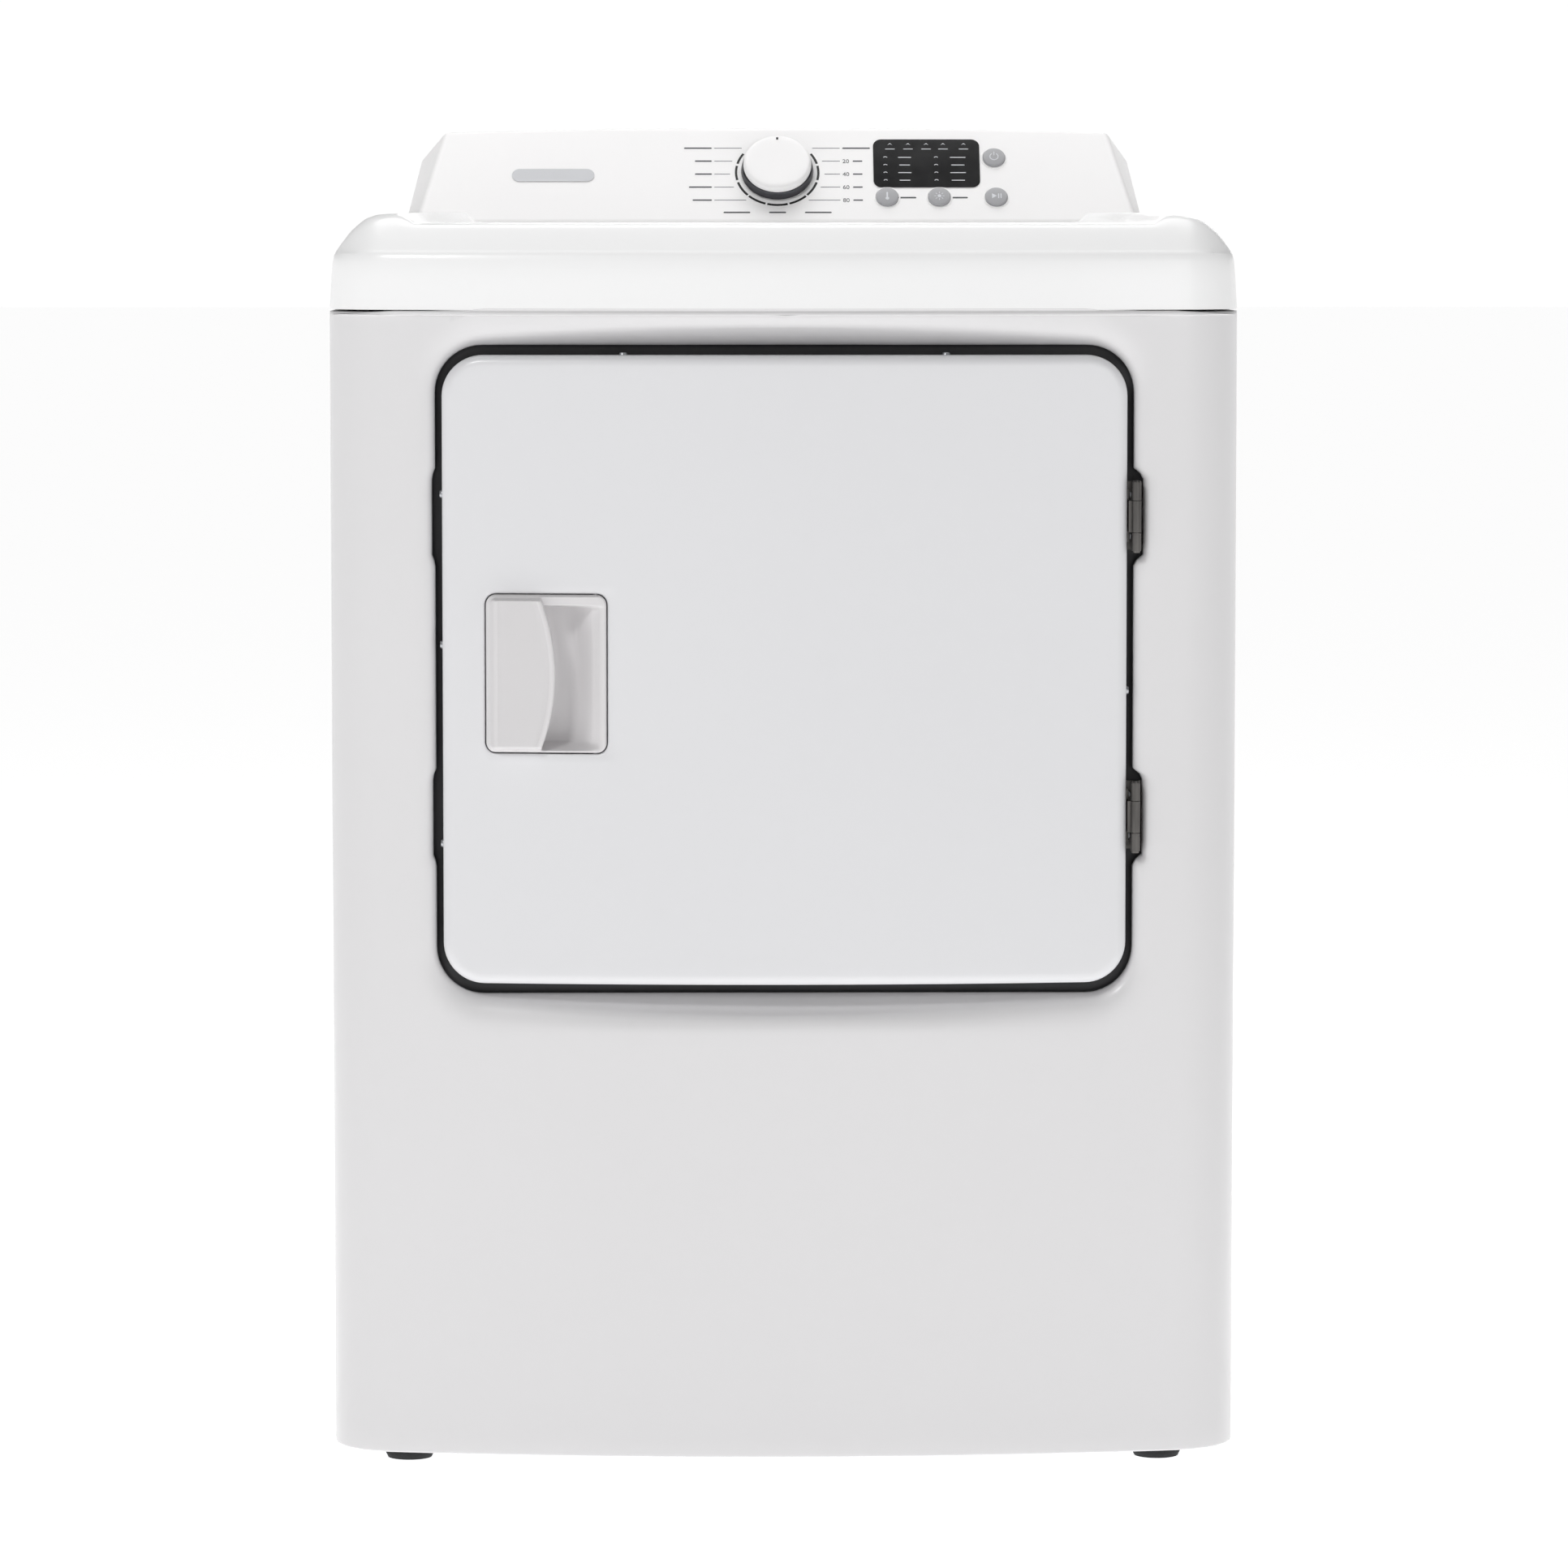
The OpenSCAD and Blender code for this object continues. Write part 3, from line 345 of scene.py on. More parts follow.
RECESS_OUT = (-270.0, 270.0, 355.0, 878.0)
RECESS_IN = (-264.5, 264.5, 370.5, 863.5)
RECESS_Y = 42.0
SHOULDER, SHOULDER_DEEP = 13.0, 8.0
SHADE_BAND_Y, SHADE_BAND_IN = 35.0, 9.0    # painted shade band at the recess foot, darkening the deep gap round the door: start on the wall, end on the floor
DOOR_MID_Z = (DOOR[2] + DOOR[3]) / 2
HINGE_Z = (DOOR_MID_Z + 116, DOOR_MID_Z - 112)
MOUTH_Z, MOUTH_RIM_R = 600.0, 206.0


def pocket(z):
    """How far a hinge pocket is pressed into the recess wall at height z, 0 to 1."""
    return max(smooth(36, 30, abs(z - h)) if abs(z - h) < 36 else 0.0 for h in HINGE_Z)


STRIKE_SLOT = (-247.0, -232.0, 602.0, 632.0)
PLUNGER_HOLE = (232.0, 842.0, 4.3)


def cut_opening(me, outline):
    """Cuts a convex opening, given as (x, z) corners, out of the flat recess floor."""
    bm = bmesh.new()
    bm.from_mesh(me)
    y = world(0, RECESS_Y, 0)[1]
    mid = [sum(p[k] for p in outline) / len(outline) for k in (0, 1)]
    reach = max(math.dist(p, mid) for p in outline) + 30.0

    def near(face):
        c = face.calc_center_median()
        return abs(c.y - y) < 2e-4 and math.dist((c.x / MM, c.z / MM), mid) < reach

    sides = []
    for a, b in zip(outline, outline[1:] + outline[:1]):
        n = Vector((b[1] - a[1], 0, a[0] - b[0]))
        if n.dot(Vector((a[0] - mid[0], 0, a[1] - mid[1]))) < 0:
            n = -n
        at = Vector((a[0] * MM, y, a[1] * MM))
        sides.append((at, n))
        faces = [f for f in bm.faces if near(f)]
        geom = set(faces)
        for f in faces:
            geom.update(f.edges)
            geom.update(f.verts)
        bmesh.ops.bisect_plane(bm, geom=list(geom), plane_co=at, plane_no=n, dist=1e-7)
    gone = [f for f in bm.faces if near(f)
            and all((f.calc_center_median() - at).dot(n) < 0 for at, n in sides)]
    bmesh.ops.delete(bm, geom=gone, context="FACES")
    bm.to_mesh(me)
    bm.free()


def build_front_panel():
    NS, NZ, NC = 60, 96, 12
    z0, z1 = PANEL_Z
    u_end = bow_arc + turn_arc - 0.02
    edge = 1.8

    def surface(u, z, t=0.0):
        near = min(z - z0, z1 - z)
        d = edge - math.sqrt(max(edge ** 2 - (edge - near) ** 2, 0)) if near < edge else 0
        x, y = plan_at(u, t + d)
        return (x, y, z)

    loops = []
    outline = rr_loop(-u_end, u_end, z0, z1, 0.3, NS, NC, NZ)
    loops.append([(*plan_at(u, 12), z) for u, z in outline])
    for k, dz in enumerate((0.0, 0.12, 0.5, 1.1, 1.9)):
        ring = rr_loop(-u_end + 0.3 * k, u_end - 0.3 * k, z0 + dz, z1 - dz, 0.3, NS, NC, NZ)
        loops.append([surface(u, z) for u, z in ring])
    inner_flat = rr_loop(*RECESS_OUT, 44, NS, NC, NZ)
    grown_ring = rr_loop(*grown(RECESS_OUT, SHOULDER), 44 + SHOULDER, NS, NC, NZ)
    last = rr_loop(-u_end + 1.5, u_end - 1.5, z0 + 2.4, z1 - 2.4, 0.3, NS, NC, NZ)
    steps = 30
    for k in range(1, steps):
        t = k / steps
        loops.append([surface(lerp(a[0], u_of_x(b[0]), t), lerp(a[1], b[1], t))
                      for a, b in zip(last, grown_ring)])
    b_ring = rr_loop(*RECESS_IN, 36, NS, NC, NZ)

    def wall(i, y):
        ax, az = inner_flat[i]
        bx, bz = b_ring[i]
        t = min(max((y - 4) / 26.0, 0), 1)
        x, z = lerp(ax, bx, t), lerp(az, bz, t)
        push = pocket(z) if abs(ax) > 262 else 0.0
        deep = (2.2, 7.2) if ax > 0 else (0.2, 2.4)
        return x + math.copysign(lerp(*deep, t) * push, x), z

    starts = []
    for i, (ax, az) in enumerate(inner_flat):
        y = bow(ax)
        for _ in range(6):
            y = bow(wall(i, y)[0])
        starts.append(y)
    ring3 = [[] for _ in range(9)]
    wall_rings = [[] for _ in range(6)]
    foot = [[] for _ in range(5)]
    inset = rr_loop(*grown(RECESS_IN, -3.6), 32.4, NS, NC, NZ)
    for i in range(len(inner_flat)):
        gx, gz = grown_ring[i]
        y0 = starts[i]
        ex, ez = wall(i, y0)
        wx, wz = wall(i, y0 + SHOULDER_DEEP)
        p0 = (gx, bow(gx), gz)
        for k, p in enumerate(bezier(p0, (ex, y0, ez), (wx, y0 + SHOULDER_DEEP, wz), 9)):
            ring3[k].append(p)
        y1 = RECESS_Y - 3.4
        for k in range(6):
            y = lerp(y0 + SHOULDER_DEEP, SHADE_BAND_Y, (k + 1) / 5.0) if k < 5 else y1
            x, z = wall(i, y)
            wall_rings[k].append((x, y, z))
        bx, bz = wall(i, y1)
        cx, cz = inset[i]
        for k, p in enumerate(bezier((bx, y1, bz), (bx, RECESS_Y, bz), (cx, RECESS_Y, cz), 5)):
            foot[k].append(p)
    loops.append([(x, bow(x), z) for x, z in grown_ring])
    loops += ring3 + wall_rings + foot
    band_edge = rr_loop(*grown(RECESS_IN, -SHADE_BAND_IN), 36 - SHADE_BAND_IN, NS, NC, NZ)
    loops.append([(x, RECESS_Y, z) for x, z in band_edge])
    mouth = []
    for x, z in band_edge:
        a = math.atan2(z - MOUTH_Z, x)
        mouth.append((math.cos(a), math.sin(a)))
    for k in range(1, 15):
        t = k / 14.0
        loops.append([(lerp(x, MOUTH_RIM_R * c, t), RECESS_Y, lerp(z, MOUTH_Z + MOUTH_RIM_R * s, t))
                      for (x, z), (c, s) in zip(band_edge, mouth)])
    for r, y in ((203.5, 42.2), (201.5, 43.1), (200.4, 44.8), (200.1, 47.0)):
        loops.append([(r * c, y, MOUTH_Z + r * s) for c, s in mouth])
    verts, faces = skin(loops)
    x_lim, z_low, z_high = grown(RECESS_IN, -SHADE_BAND_IN)[1:]
    r_lim = 36 - SHADE_BAND_IN

    # mask of the painted shade band in the deep gap round the door
    def in_painted_shade_band(x, y, z):
        qx = abs(x) - (x_lim - r_lim)
        qz = abs(z - (z_low + z_high) / 2) - ((z_high - z_low) / 2 - r_lim)
        away = math.hypot(max(qx, 0), max(qz, 0)) + min(max(qx, qz), 0) - r_lim
        return y > SHADE_BAND_Y and away > 0 and abs(x) < 273 and 366 < z < 868

    ob = finish_mesh("front_skin", verts, faces, "white_paint", "cabinet",
                     replaces=("front_panel",), angle=50, mats2=("painted_gap_shade", in_painted_shade_band))
    outward(ob, Vector((0, -1, 0)))
    sx0, sx1, sz0, sz1 = STRIKE_SLOT
    cut_opening(ob.data, [(sx0, sz0), (sx1, sz0), (sx1, sz1), (sx0, sz1)])
    hx, hz, hr = PLUNGER_HOLE
    cut_opening(ob.data, [(hx + hr * math.cos(math.pi * k / 8), hz + hr * math.sin(math.pi * k / 8))
                          for k in range(16)])
    thicken(ob, 1.2)
    return ob


build_front_panel()


# ---------- door ----------
def build_door():
    NS, NZ, NC = 40, 50, 14
    hole = grown(CUP, 0.6)
    x0, x1, z0, z1 = DOOR
    R = 31.0
    loops = []
    for d, y in ((0.0, 6.0), (0.0, 2.4), (0.25, 1.2), (0.9, 0.35), (1.9, 0.0)):
        ring = rr_loop(*grown(hole, d), 8.6 + d, NS, NC, NZ)
        loops.append([(x, bow(x, -DOOR_PROUD) + y, z) for x, z in ring])
    first = rr_loop(*grown(hole, 2.4), 11, NS, NC, NZ)
    pillow = 8.0
    outer = rr_loop(*grown(DOOR, -pillow), R - pillow, NS, NC, NZ)
    for k in range(1, 36):
        t = (k / 36.0)
        loops.append([(lerp(a[0], b[0], t), bow(lerp(a[0], b[0], t), -DOOR_PROUD),
                       lerp(a[1], b[1], t)) for a, b in zip(first, outer)])
    for k in range(0, 11):
        a = math.radians(9 * k)
        d = pillow * (1 - math.sin(a))
        ring = rr_loop(*grown(DOOR, -d), R - d, NS, NC, NZ)
        drop = 6.2 * (1 - math.cos(a))
        loops.append([(x, bow(x, -DOOR_PROUD) + drop, z) for x, z in ring])
    edge_ring = rr_loop(*DOOR, R, NS, NC, NZ)
    for k in range(1, 5):
        loops.append([(x, lerp(bow(x, -DOOR_PROUD) + 6.2, 31.2, k / 4.0), z)
                      for x, z in edge_ring])
    for d, y in ((0.25, 31.6), (0.8, 31.8), (10.0, 31.8)):
        ring = rr_loop(*grown(DOOR, -d), R - d, NS, NC, NZ)
        loops.append([(x, y, z) for x, z in ring])
    verts, faces = skin(loops)
    ob = finish_mesh("door_skin", verts, faces, "door_paint", "door",
                     replaces=("door_outer",), angle=40)
    outward(ob, Vector((0, -1, 0)))
    thicken(ob, 1.0)
    return ob


build_door()


# ---------- handle ----------
def build_handle():
    x0, x1, z0, z1 = CUP
    cx, cz, cr = -330.5, (z0 + z1) / 2, 157.0
    zs = [z0, z0 + 0.3, z0 + 0.9, z0 + 1.8, z0 + 2.6]
    zs += list(np.linspace(z0 + 3.2, z0 + 8, 12))
    zs += list(np.linspace(z0 + 9.2, z1 - 12, 52))
    zs += list(np.linspace(z1 - 11.2, z1 - 7.4, 12))
    zs += list(np.linspace(z1 - 6.8, z1 - 3.2, 8))
    zs += [z1 - 2.6, z1 - 1.8, z1 - 0.9, z1 - 0.3, z1]
    verts, rows = [], []
    for z in zs:
        near = min(z - z0, z1 - z)
        rim = smooth(0.0, 1.4, near)
        g = smooth(2.6, 4.8, near)
        p = smooth(z0 + 1.8, z0 + 8.5, z) * smooth(z1 - 8.0, z1 - 10.4, z) \
            if z < z1 - 8.0 else 0.0
        sink = p ** 0.8
        xa = cx + math.sqrt(max(cr ** 2 - (z - cz) ** 2, 0)) - 4.2
        frame_h = 2.0
        cut = 8.0 - math.sqrt(max(8.0 ** 2 - max(8.0 - near, 0) ** 2, 0))
        left, right = x0 + cut, x1 - cut
        cols = [(left, -3.0), (left + 0.15, -0.6), (left + 0.6, 0.7), (left + 1.5, 1.2),
                (left + 3.0, 1.35)]
        grip = lambda h: lerp(1.35, h, g)
        for dx, h in ((4.2, 3.2), (5.2, 5.4), (6.3, 7.0), (7.4, 7.8), (8.4, 8.0)):
            cols.append((x0 + max(dx, cut + 3.2 + 0.2 * dx), grip(h)))
        plate_x = cols[-1][0] + 0.7
        for k in range(9):
            cols.append((lerp(plate_x, xa, k / 8.0), grip(7.65)))
        for dx, h in ((0.5, 8.0), (1.4, 8.1), (2.8, 7.8), (3.6, 7.2), (4.1, 6.2), (4.3, 4.8)):
            cols.append((xa + dx, grip(h)))
        under = lambda h: lerp(frame_h, h, sink) if z < cz or p < 1 else h
        cols.append((xa + lerp(4.6, 3.6, p), under(3.0)))
        cols.append((xa + lerp(4.9, 1.2, p), under(-3.0)))
        cols.append((xa + lerp(5.2, -0.5, p), under(-12.0)))
        cols.append((xa + lerp(5.6, 0.6, p), under(-20.0)))
        floor_x0, floor_x1 = xa + 6.0, x1 - 7.0
        for k in range(14):
            t = k / 13.0
            rise = smooth(0.0, 1.0, t)
            cols.append((lerp(floor_x0, floor_x1, t), under(-23.5 + 22.5 * rise ** 2.6)))
        cols += [(min(x1 - 5.6, right - 2.0), under(1.0)), (right - 1.9, 2.0),
                 (right - 1.2, 1.8), (right - 0.6, 1.0), (right - 0.15, -0.6), (right, -3.0)]
        row = []
        for x, h in cols:
            h = lerp(-3.0, h, rim)
            row.append(len(verts))
            verts.append((x, bow(x, -DOOR_PROUD) - h, z))
        rows.append(row)
    faces = []
    for a, b in zip(rows, rows[1:]):
        for j in range(len(a) - 1):
            faces.append((a[j], a[j + 1], b[j + 1], b[j]))

    def plate(x, y, z):
        xa = cx + math.sqrt(max(cr ** 2 - (z - cz) ** 2, 0)) - 4.2
        return x0 + 9.0 < x < xa + 0.1 and z0 + 5.4 < z < z1 - 5.4

    ob = finish_mesh("handle_moulding", verts, faces, "grey_plastic", "door",
                     replaces=("handle_cup", "handle_grip"), angle=55,
                     mats2=("plate_plastic", plate))
    outward(ob, Vector((0, -1, 0)))
    mod = ob.modifiers.new("thickness", "SOLIDIFY")
    mod.thickness = 0.0016
    mod.offset = -1
    return ob


build_handle()


# ---------- worktop ----------
RIM = [(0, SKIRT_FOOT_Z), (0.8, 903), (1.4, 913), (1.9, 920), (2.6, 926.5), (3.5, 930.6),
       (4.6, 933), (6, 935), (10, 940.6),
       (16, 948.4), (22, 954), (28, 958.5), (36, 961.4), (50, LID_TOP), (400, LID_TOP)]
FLOOR_Z = LID_TOP - 8.5


def smin(a, b, k):
    h = max(k - abs(a - b), 0.0) / k
    return min(a, b) - h * h * k * 0.25


def lid_height(x, y, s):
    outer = curve_at(RIM, s)
    if s < 4:
        return outer
    b = BOW_R - math.hypot(x, y - BOW_R)
    wide = max((abs(x) - 300) / 43.0, 0)
    b -= 42 * wide ** 2.6
    front = 930.8 + 1.15 * max(b - 3, 0)
    a = HALF - abs(x) - lerp(0, 34, smooth(430, 500, y))
    inner = lerp(LID_TOP, FLOOR_Z, smooth(54, 66, a))
    blend = smooth(3.5, 6.5, s)
    return lerp(outer, smin(smin(outer, front, 3.0), inner, 2.5), blend)


def build_worktop():
    side_n, corner_n, bow_n = 84, 22, 110
    insets = [0, 0.4, 0.8, 1.4, 1.9, 2.6, 3.5, 4.6, 6, 7.5, 9, 11, 13, 15, 17, 19, 21, 23, 25,
              27, 29, 31, 33, 35, 37, 39, 41, 43, 45, 47, 49, 51, 53, 55, 57, 59, 61, 63,
              65, 67, 70, 74, 78, 84, 90, 98, 106]

    def loop(s):
        rc = max(CORNER_R - s, 4.0)
        cx = HALF - s - rc
        rr = BOW_R - s
        cy = BOW_R - math.sqrt((rr - rc) ** 2 - cx ** 2)
        ta = math.asin(cx / (rr - rc))
        pts = []
        for k in range(side_n):
            t = k / side_n
            pts.append((-(HALF - s), lerp(BACK_Y, cy, t)))
        for k in range(corner_n):
            a = math.pi / 2 - (math.pi / 2 - ta) * k / corner_n
            pts.append((-(cx + rc * math.sin(a)), cy - rc * math.cos(a)))
        for k in range(bow_n + 1):
            a = lerp(-ta, ta, k / bow_n)
            pts.append((rr * math.sin(a), BOW_R - rr * math.cos(a)))
        left = pts[:side_n + corner_n]
        return pts + [(-x, y) for x, y in reversed(left)]

    loops = []
    for s in insets:
        loops.append([(x, y, lid_height(x, y, s)) for x, y in loop(s)])
    skirt_low = [(x, y, SKIRT_FOOT_Z) for x, y in loop(4.0)]
    loops.insert(0, skirt_low)
    verts, faces = skin(loops, closed=False)
    n = len(loops[0])
    base = (len(loops) - 1) * n
    inner = loops[-1]
    s_last = insets[-1]
    cols = 40
    grid = []
    for j in range(n // 2):
        a, b = inner[j], inner[n - 1 - j]
        row = [base + j]
        for k in range(1, cols):
            x = lerp(a[0], b[0], k / cols)
            y = a[1]
            row.append(len(verts))
            verts.append((x, y, lid_height(x, y, s_last)))
        row.append(base + n - 1 - j)
        grid.append(row)
    for p, q in zip(grid, grid[1:]):
        for k in range(cols):
            faces.append((p[k], q[k], q[k + 1], p[k + 1]))
    tip = base + n // 2
    last = grid[-1]
    faces.append(tuple(last + [tip]) if n % 2 else tuple(last))
    ob = finish_mesh("lid_skin", verts, faces, "white_top", "cabinet",
                     replaces=("worktop",), angle=50)
    outward(ob, Vector((0, 0, 1)))
    thicken(ob, 1.5)
    return ob


build_worktop()
REAR_INSETS = (0, 0.8, 1.4, 1.9, 2.6, 3.5, 4.6, 6, 8, 10, 13, 16, 19, 22, 25, 28, 32, 36, 43,
               50, 58, 66)


def build_lid_rear_wall():
    """Rear wall of the worktop, closing it down to the rear panel."""
    wide = HALF - REAR_INSETS[-1]
    xs = [-HALF + s for s in REAR_INSETS] + [lerp(-wide, wide, k / 40) for k in range(1, 40)]
    xs += [HALF - s for s in reversed(REAR_INSETS)]
    rear = [(x, lid_height(x, BACK_Y, min(HALF - abs(x), 400))) for x in xs]
    inside_y = BACK_Y - LID_WALL
    verts = [(x, BACK_Y, z) for x, z in rear] + [(x, BACK_Y, SKIRT_FOOT_Z) for x, z in rear]
    verts += [(x, inside_y, z - 0.2) for x, z in rear]
    verts += [(x, inside_y, SKIRT_FOOT_Z) for x, z in rear]
    m = len(rear)
    faces = []
    for k in range(m - 1):
        faces.append((k, k + 1, m + k + 1, m + k))
        faces.append((2 * m + k, 3 * m + k, 3 * m + k + 1, 2 * m + k + 1))
        faces.append((k, 2 * m + k, 2 * m + k + 1, k + 1))
        faces.append((m + k, m + k + 1, 3 * m + k + 1, 3 * m + k))
    finish_mesh("lid_rear_wall", verts, faces, "white_top", "cabinet", angle=40)


build_lid_rear_wall()

# ---------- console ----------
TILT = math.radians(38)
FASCIA_Y = 500.0
FASCIA_Z = FLOOR_Z + 1.0
ET = (0.0, math.sin(TILT), math.cos(TILT))
EN = (0.0, -math.cos(TILT), math.sin(TILT))


def fas(x, t, d=0.0):
    """Point on the fascia: x across, t up its slope, d out of it."""
    return (x, FASCIA_Y + t * ET[1] + d * EN[1], FASCIA_Z + t * ET[2] + d * EN[2])


def lathe(centre, profile, n=72, closed=True):
    """Profile of (radius, height) turned about the fascia's normal at centre."""
    loops = []
    for r, h in profile:
        loops.append([fas(centre[0] + r * math.cos(2 * math.pi * k / n),
                          centre[1] + r * math.sin(2 * math.pi * k / n), h)
                      for k in range(n)])
    verts, faces = skin(loops)
    if closed:
        faces.append(tuple(range(n - 1, -1, -1)))
        faces.append(tuple((len(loops) - 1) * n + k for k in range(n)))
    return verts, faces


KNOB = (0.5, 50.7)
# Knob: crowned white cap and a dark metallic skirt
v, f = lathe(KNOB, [(26.8, 8.6), (27.7, 8.9), (28.0, 9.8), (28.0, 11.6), (27.7, 13.0),
                    (27.0, 14.1), (26.0, 14.8), (24.6, 15.05), (22.0, 15.05), (14.0, 14.9),
                    (5.0, 14.8)], 96)
finish_mesh("knob_cap_form", v, f, "white_plastic", "knob",
            replaces=("knob_cap",), angle=34)
TICK = [(KNOB[0] - 0.9, KNOB[1] + 22.6), (KNOB[0] + 0.9, KNOB[1] + 22.6),
        (KNOB[0] + 0.9, KNOB[1] + 25.0), (KNOB[0] - 0.9, KNOB[1] + 25.0)]
v, f = lathe(KNOB, [(3.0, -20.5), (3.0, 1.6), (29.6, 1.6), (29.9, 2.2), (29.4, 5.0), (28.9, 7.8),
                    (28.3, 8.5), (26.4, 8.6)], 96)
finish_mesh("knob_skirt_form", v, f, "knob_metal", "knob",
            replaces=("knob_skirt",), angle=30)


def prism(name, outline, d0, d1, mat, body="cabinet", bevel=0.12):
    """Thin raised print or trim: an outline in fascia coordinates from d0 to d1."""
    n = len(outline)
    cx = sum(p[0] for p in outline) / n
    cy = sum(p[1] for p in outline) / n
    low = [fas(x, y, d0) for x, y in outline]
    mid = [fas(x, y, d1 - bevel * (d1 - d0)) for x, y in outline]
    top = [fas(lerp(x, cx, 0.004), lerp(y, cy, 0.004), d1) for x, y in outline]
    verts, faces = skin([low, mid, top])
    faces.append(tuple(range(n - 1, -1, -1)))
    faces.append(tuple(2 * n + k for k in range(n)))
    return finish_mesh(name, verts, faces, mat, body, angle=35)


def pill(x, y, w, h, n=6):
    r = min(w, h) / 2
    pts = []
    for cx, cy, a0 in ((x + w / 2 - r, y + h / 2 - r, 0), (x - w / 2 + r, y + h / 2 - r, 90),
                       (x - w / 2 + r, y - h / 2 + r, 180), (x + w / 2 - r, y - h / 2 + r, 270)):
        for k in range(n + 1):
            a = math.radians(a0 + 90 * k / n)
            pts.append((cx + r * math.cos(a), cy + r * math.sin(a)))
    return pts


def arc_band(cx, cy, r, w, a0, a1, n=18):
    pts = [(cx + (r + w / 2) * math.cos(math.radians(lerp(a0, a1, k / n))),
            cy + (r + w / 2) * math.sin(math.radians(lerp(a0, a1, k / n))))
           for k in range(n + 1)]
    pts += [(cx + (r - w / 2) * math.cos(math.radians(lerp(a1, a0, k / n))),
             cy + (r - w / 2) * math.sin(math.radians(lerp(a1, a0, k / n))))
            for k in range(n + 1)]
    return pts


prism("knob_tick", TICK, 14.7, 15.2, "print_black", "knob")

# Console shell as one fine rounded form over the CAD shell's corners
def build_console():
    r = 6.0
    half, lo = 298.0, FASCIA_Z - 1.0
    top_lift = FLOOR_Z - 954.5
    pts = []

    def ball(c):
        for i in range(9):
            th = math.pi * i / 8
            for j in range(24):
                ph = 2 * math.pi * j / 24
                pts.append((c[0] + r * math.sin(th) * math.cos(ph),
                            c[1] + r * math.sin(th) * math.sin(ph), c[2] + r * math.cos(th)))

    def fp(s, z):
        t = (z - FASCIA_Z + r * math.sin(TILT)) / math.cos(TILT)
        return (s * (half - 0.2316 * t - r),
                FASCIA_Y + t * math.sin(TILT) + r * math.cos(TILT), z)

    for s in (-1, 1):
        ball(fp(s, FASCIA_Z - 2))
        ball(fp(s, 1022.5 + top_lift))
        ball(fp(s * 0.55, 1025.5 + top_lift))
        ball((s * (312 - r), 684 - r, FASCIA_Z - 2))
        ball((s * (299 - r), 684 - r, 1003 + top_lift))
        ball((s * (281 - r), 684 - r, 1020.5 + top_lift))
        ball((s * 150, 684 - r, 1024.5 + top_lift))
    ball(fp(0, 1026.5 + top_lift))
    bm = bmesh.new()
    for p in pts:
        bm.verts.new(world(*p))
    out = bmesh.ops.convex_hull(bm, input=bm.verts)
    loose = [g for g in out["geom_interior"] if isinstance(g, bmesh.types.BMVert)]
    bmesh.ops.delete(bm, geom=list(set(loose)), context="VERTS")
    bmesh.ops.dissolve_limit(bm, angle_limit=math.radians(0.4), verts=bm.verts, edges=bm.edges)
    me = bpy.data.meshes.new("console_form")
    bm.to_mesh(me)
    bm.free()
    me.materials.append(MATS["white_plastic"])
    for p in me.polygons:
        p.use_smooth = True
    me.set_sharp_from_angle(angle=math.radians(40))
    ob = bpy.data.objects.new("console_form", me)
    bpy.context.scene.collection.objects.link(ob)
    wn = ob.modifiers.new("shading", "WEIGHTED_NORMAL")
    wn.keep_sharp = True
    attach(ob, "cabinet")
    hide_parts("console_body")
    return ob


build_console()

# Printed scale round the knob: nine arcs, leader lines and short bars for the words
spans = [(15.6, 35), (-13.5, 11.7), (-43.8, -17.7), (-73, -46.3), (-104.3, -75.7)]
for i, (a0, a1) in enumerate(spans):
    prism(f"scale_arc_r{i}", arc_band(*KNOB, 34, 1.9, a0, a1), -0.3, 0.12, "print_black")
    if i < 4:
        prism(f"scale_arc_l{i}", arc_band(*KNOB, 34, 1.9, 180 - a1, 180 - a0), -0.3, 0.12,
              "print_black")
for side in (-1, 1):
    for i in range(5):
        t = 76.2 - 13.6 * i
        dy = t - KNOB[1]
        reach = math.sqrt(max(38.0 ** 2 - min(abs(dy), 30) ** 2, 60))
        x_a = KNOB[0] + side * (reach + 1)
        x_b = KNOB[0] + side * 52
        prism(f"leader_{'l' if side < 0 else 'r'}{i}", pill((x_a + x_b) / 2, t,
              abs(x_b - x_a), 0.5), -0.3, 0.1, "print_grey")
        w = (23, 14, 14, 19, 16)[i]
        if side > 0 and i > 0:
            curve = bpy.data.curves.new(f"numeral_{20 * i}", "FONT")
            curve.body = str(20 * i)
            curve.size = 0.0056
            curve.extrude = 0.0001
            tmp = bpy.data.objects.new("numeral_tmp", curve)
            bpy.context.scene.collection.objects.link(tmp)
            deps = bpy.context.evaluated_depsgraph_get()
            me = bpy.data.meshes.new_from_object(tmp.evaluated_get(deps))
            bpy.data.objects.remove(tmp)
            at = world(*fas(x_b + 2, t - 2.0, 0.0))
            basis = Matrix(((1, 0, 0), ET, EN)).transposed().to_4x4()
            me.transform(Matrix.Translation(at) @ basis)
            me.materials.clear()
            me.materials.append(MATS["print_grey"])
            num = bpy.data.objects.new(f"numeral_{20 * i}", me)
            bpy.context.scene.collection.objects.link(num)
            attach(num, "cabinet")
            prism(f"label_unit{i}", pill(x_b + 14.5, t, 8, 1.3), -0.3, 0.1, "print_grey")
        else:
            prism(f"label_{'l' if side < 0 else 'r'}{i}", pill(x_b + side * (w / 2 + 2), t,
                  w, 1.4), -0.3, 0.1, "print_grey")
for i, (x, w) in enumerate(((-33, 22), (0.5, 14), (34, 22))):
    prism(f"label_low{i}", pill(x, 9.0, w, 1.4), -0.3, 0.1, "print_grey")

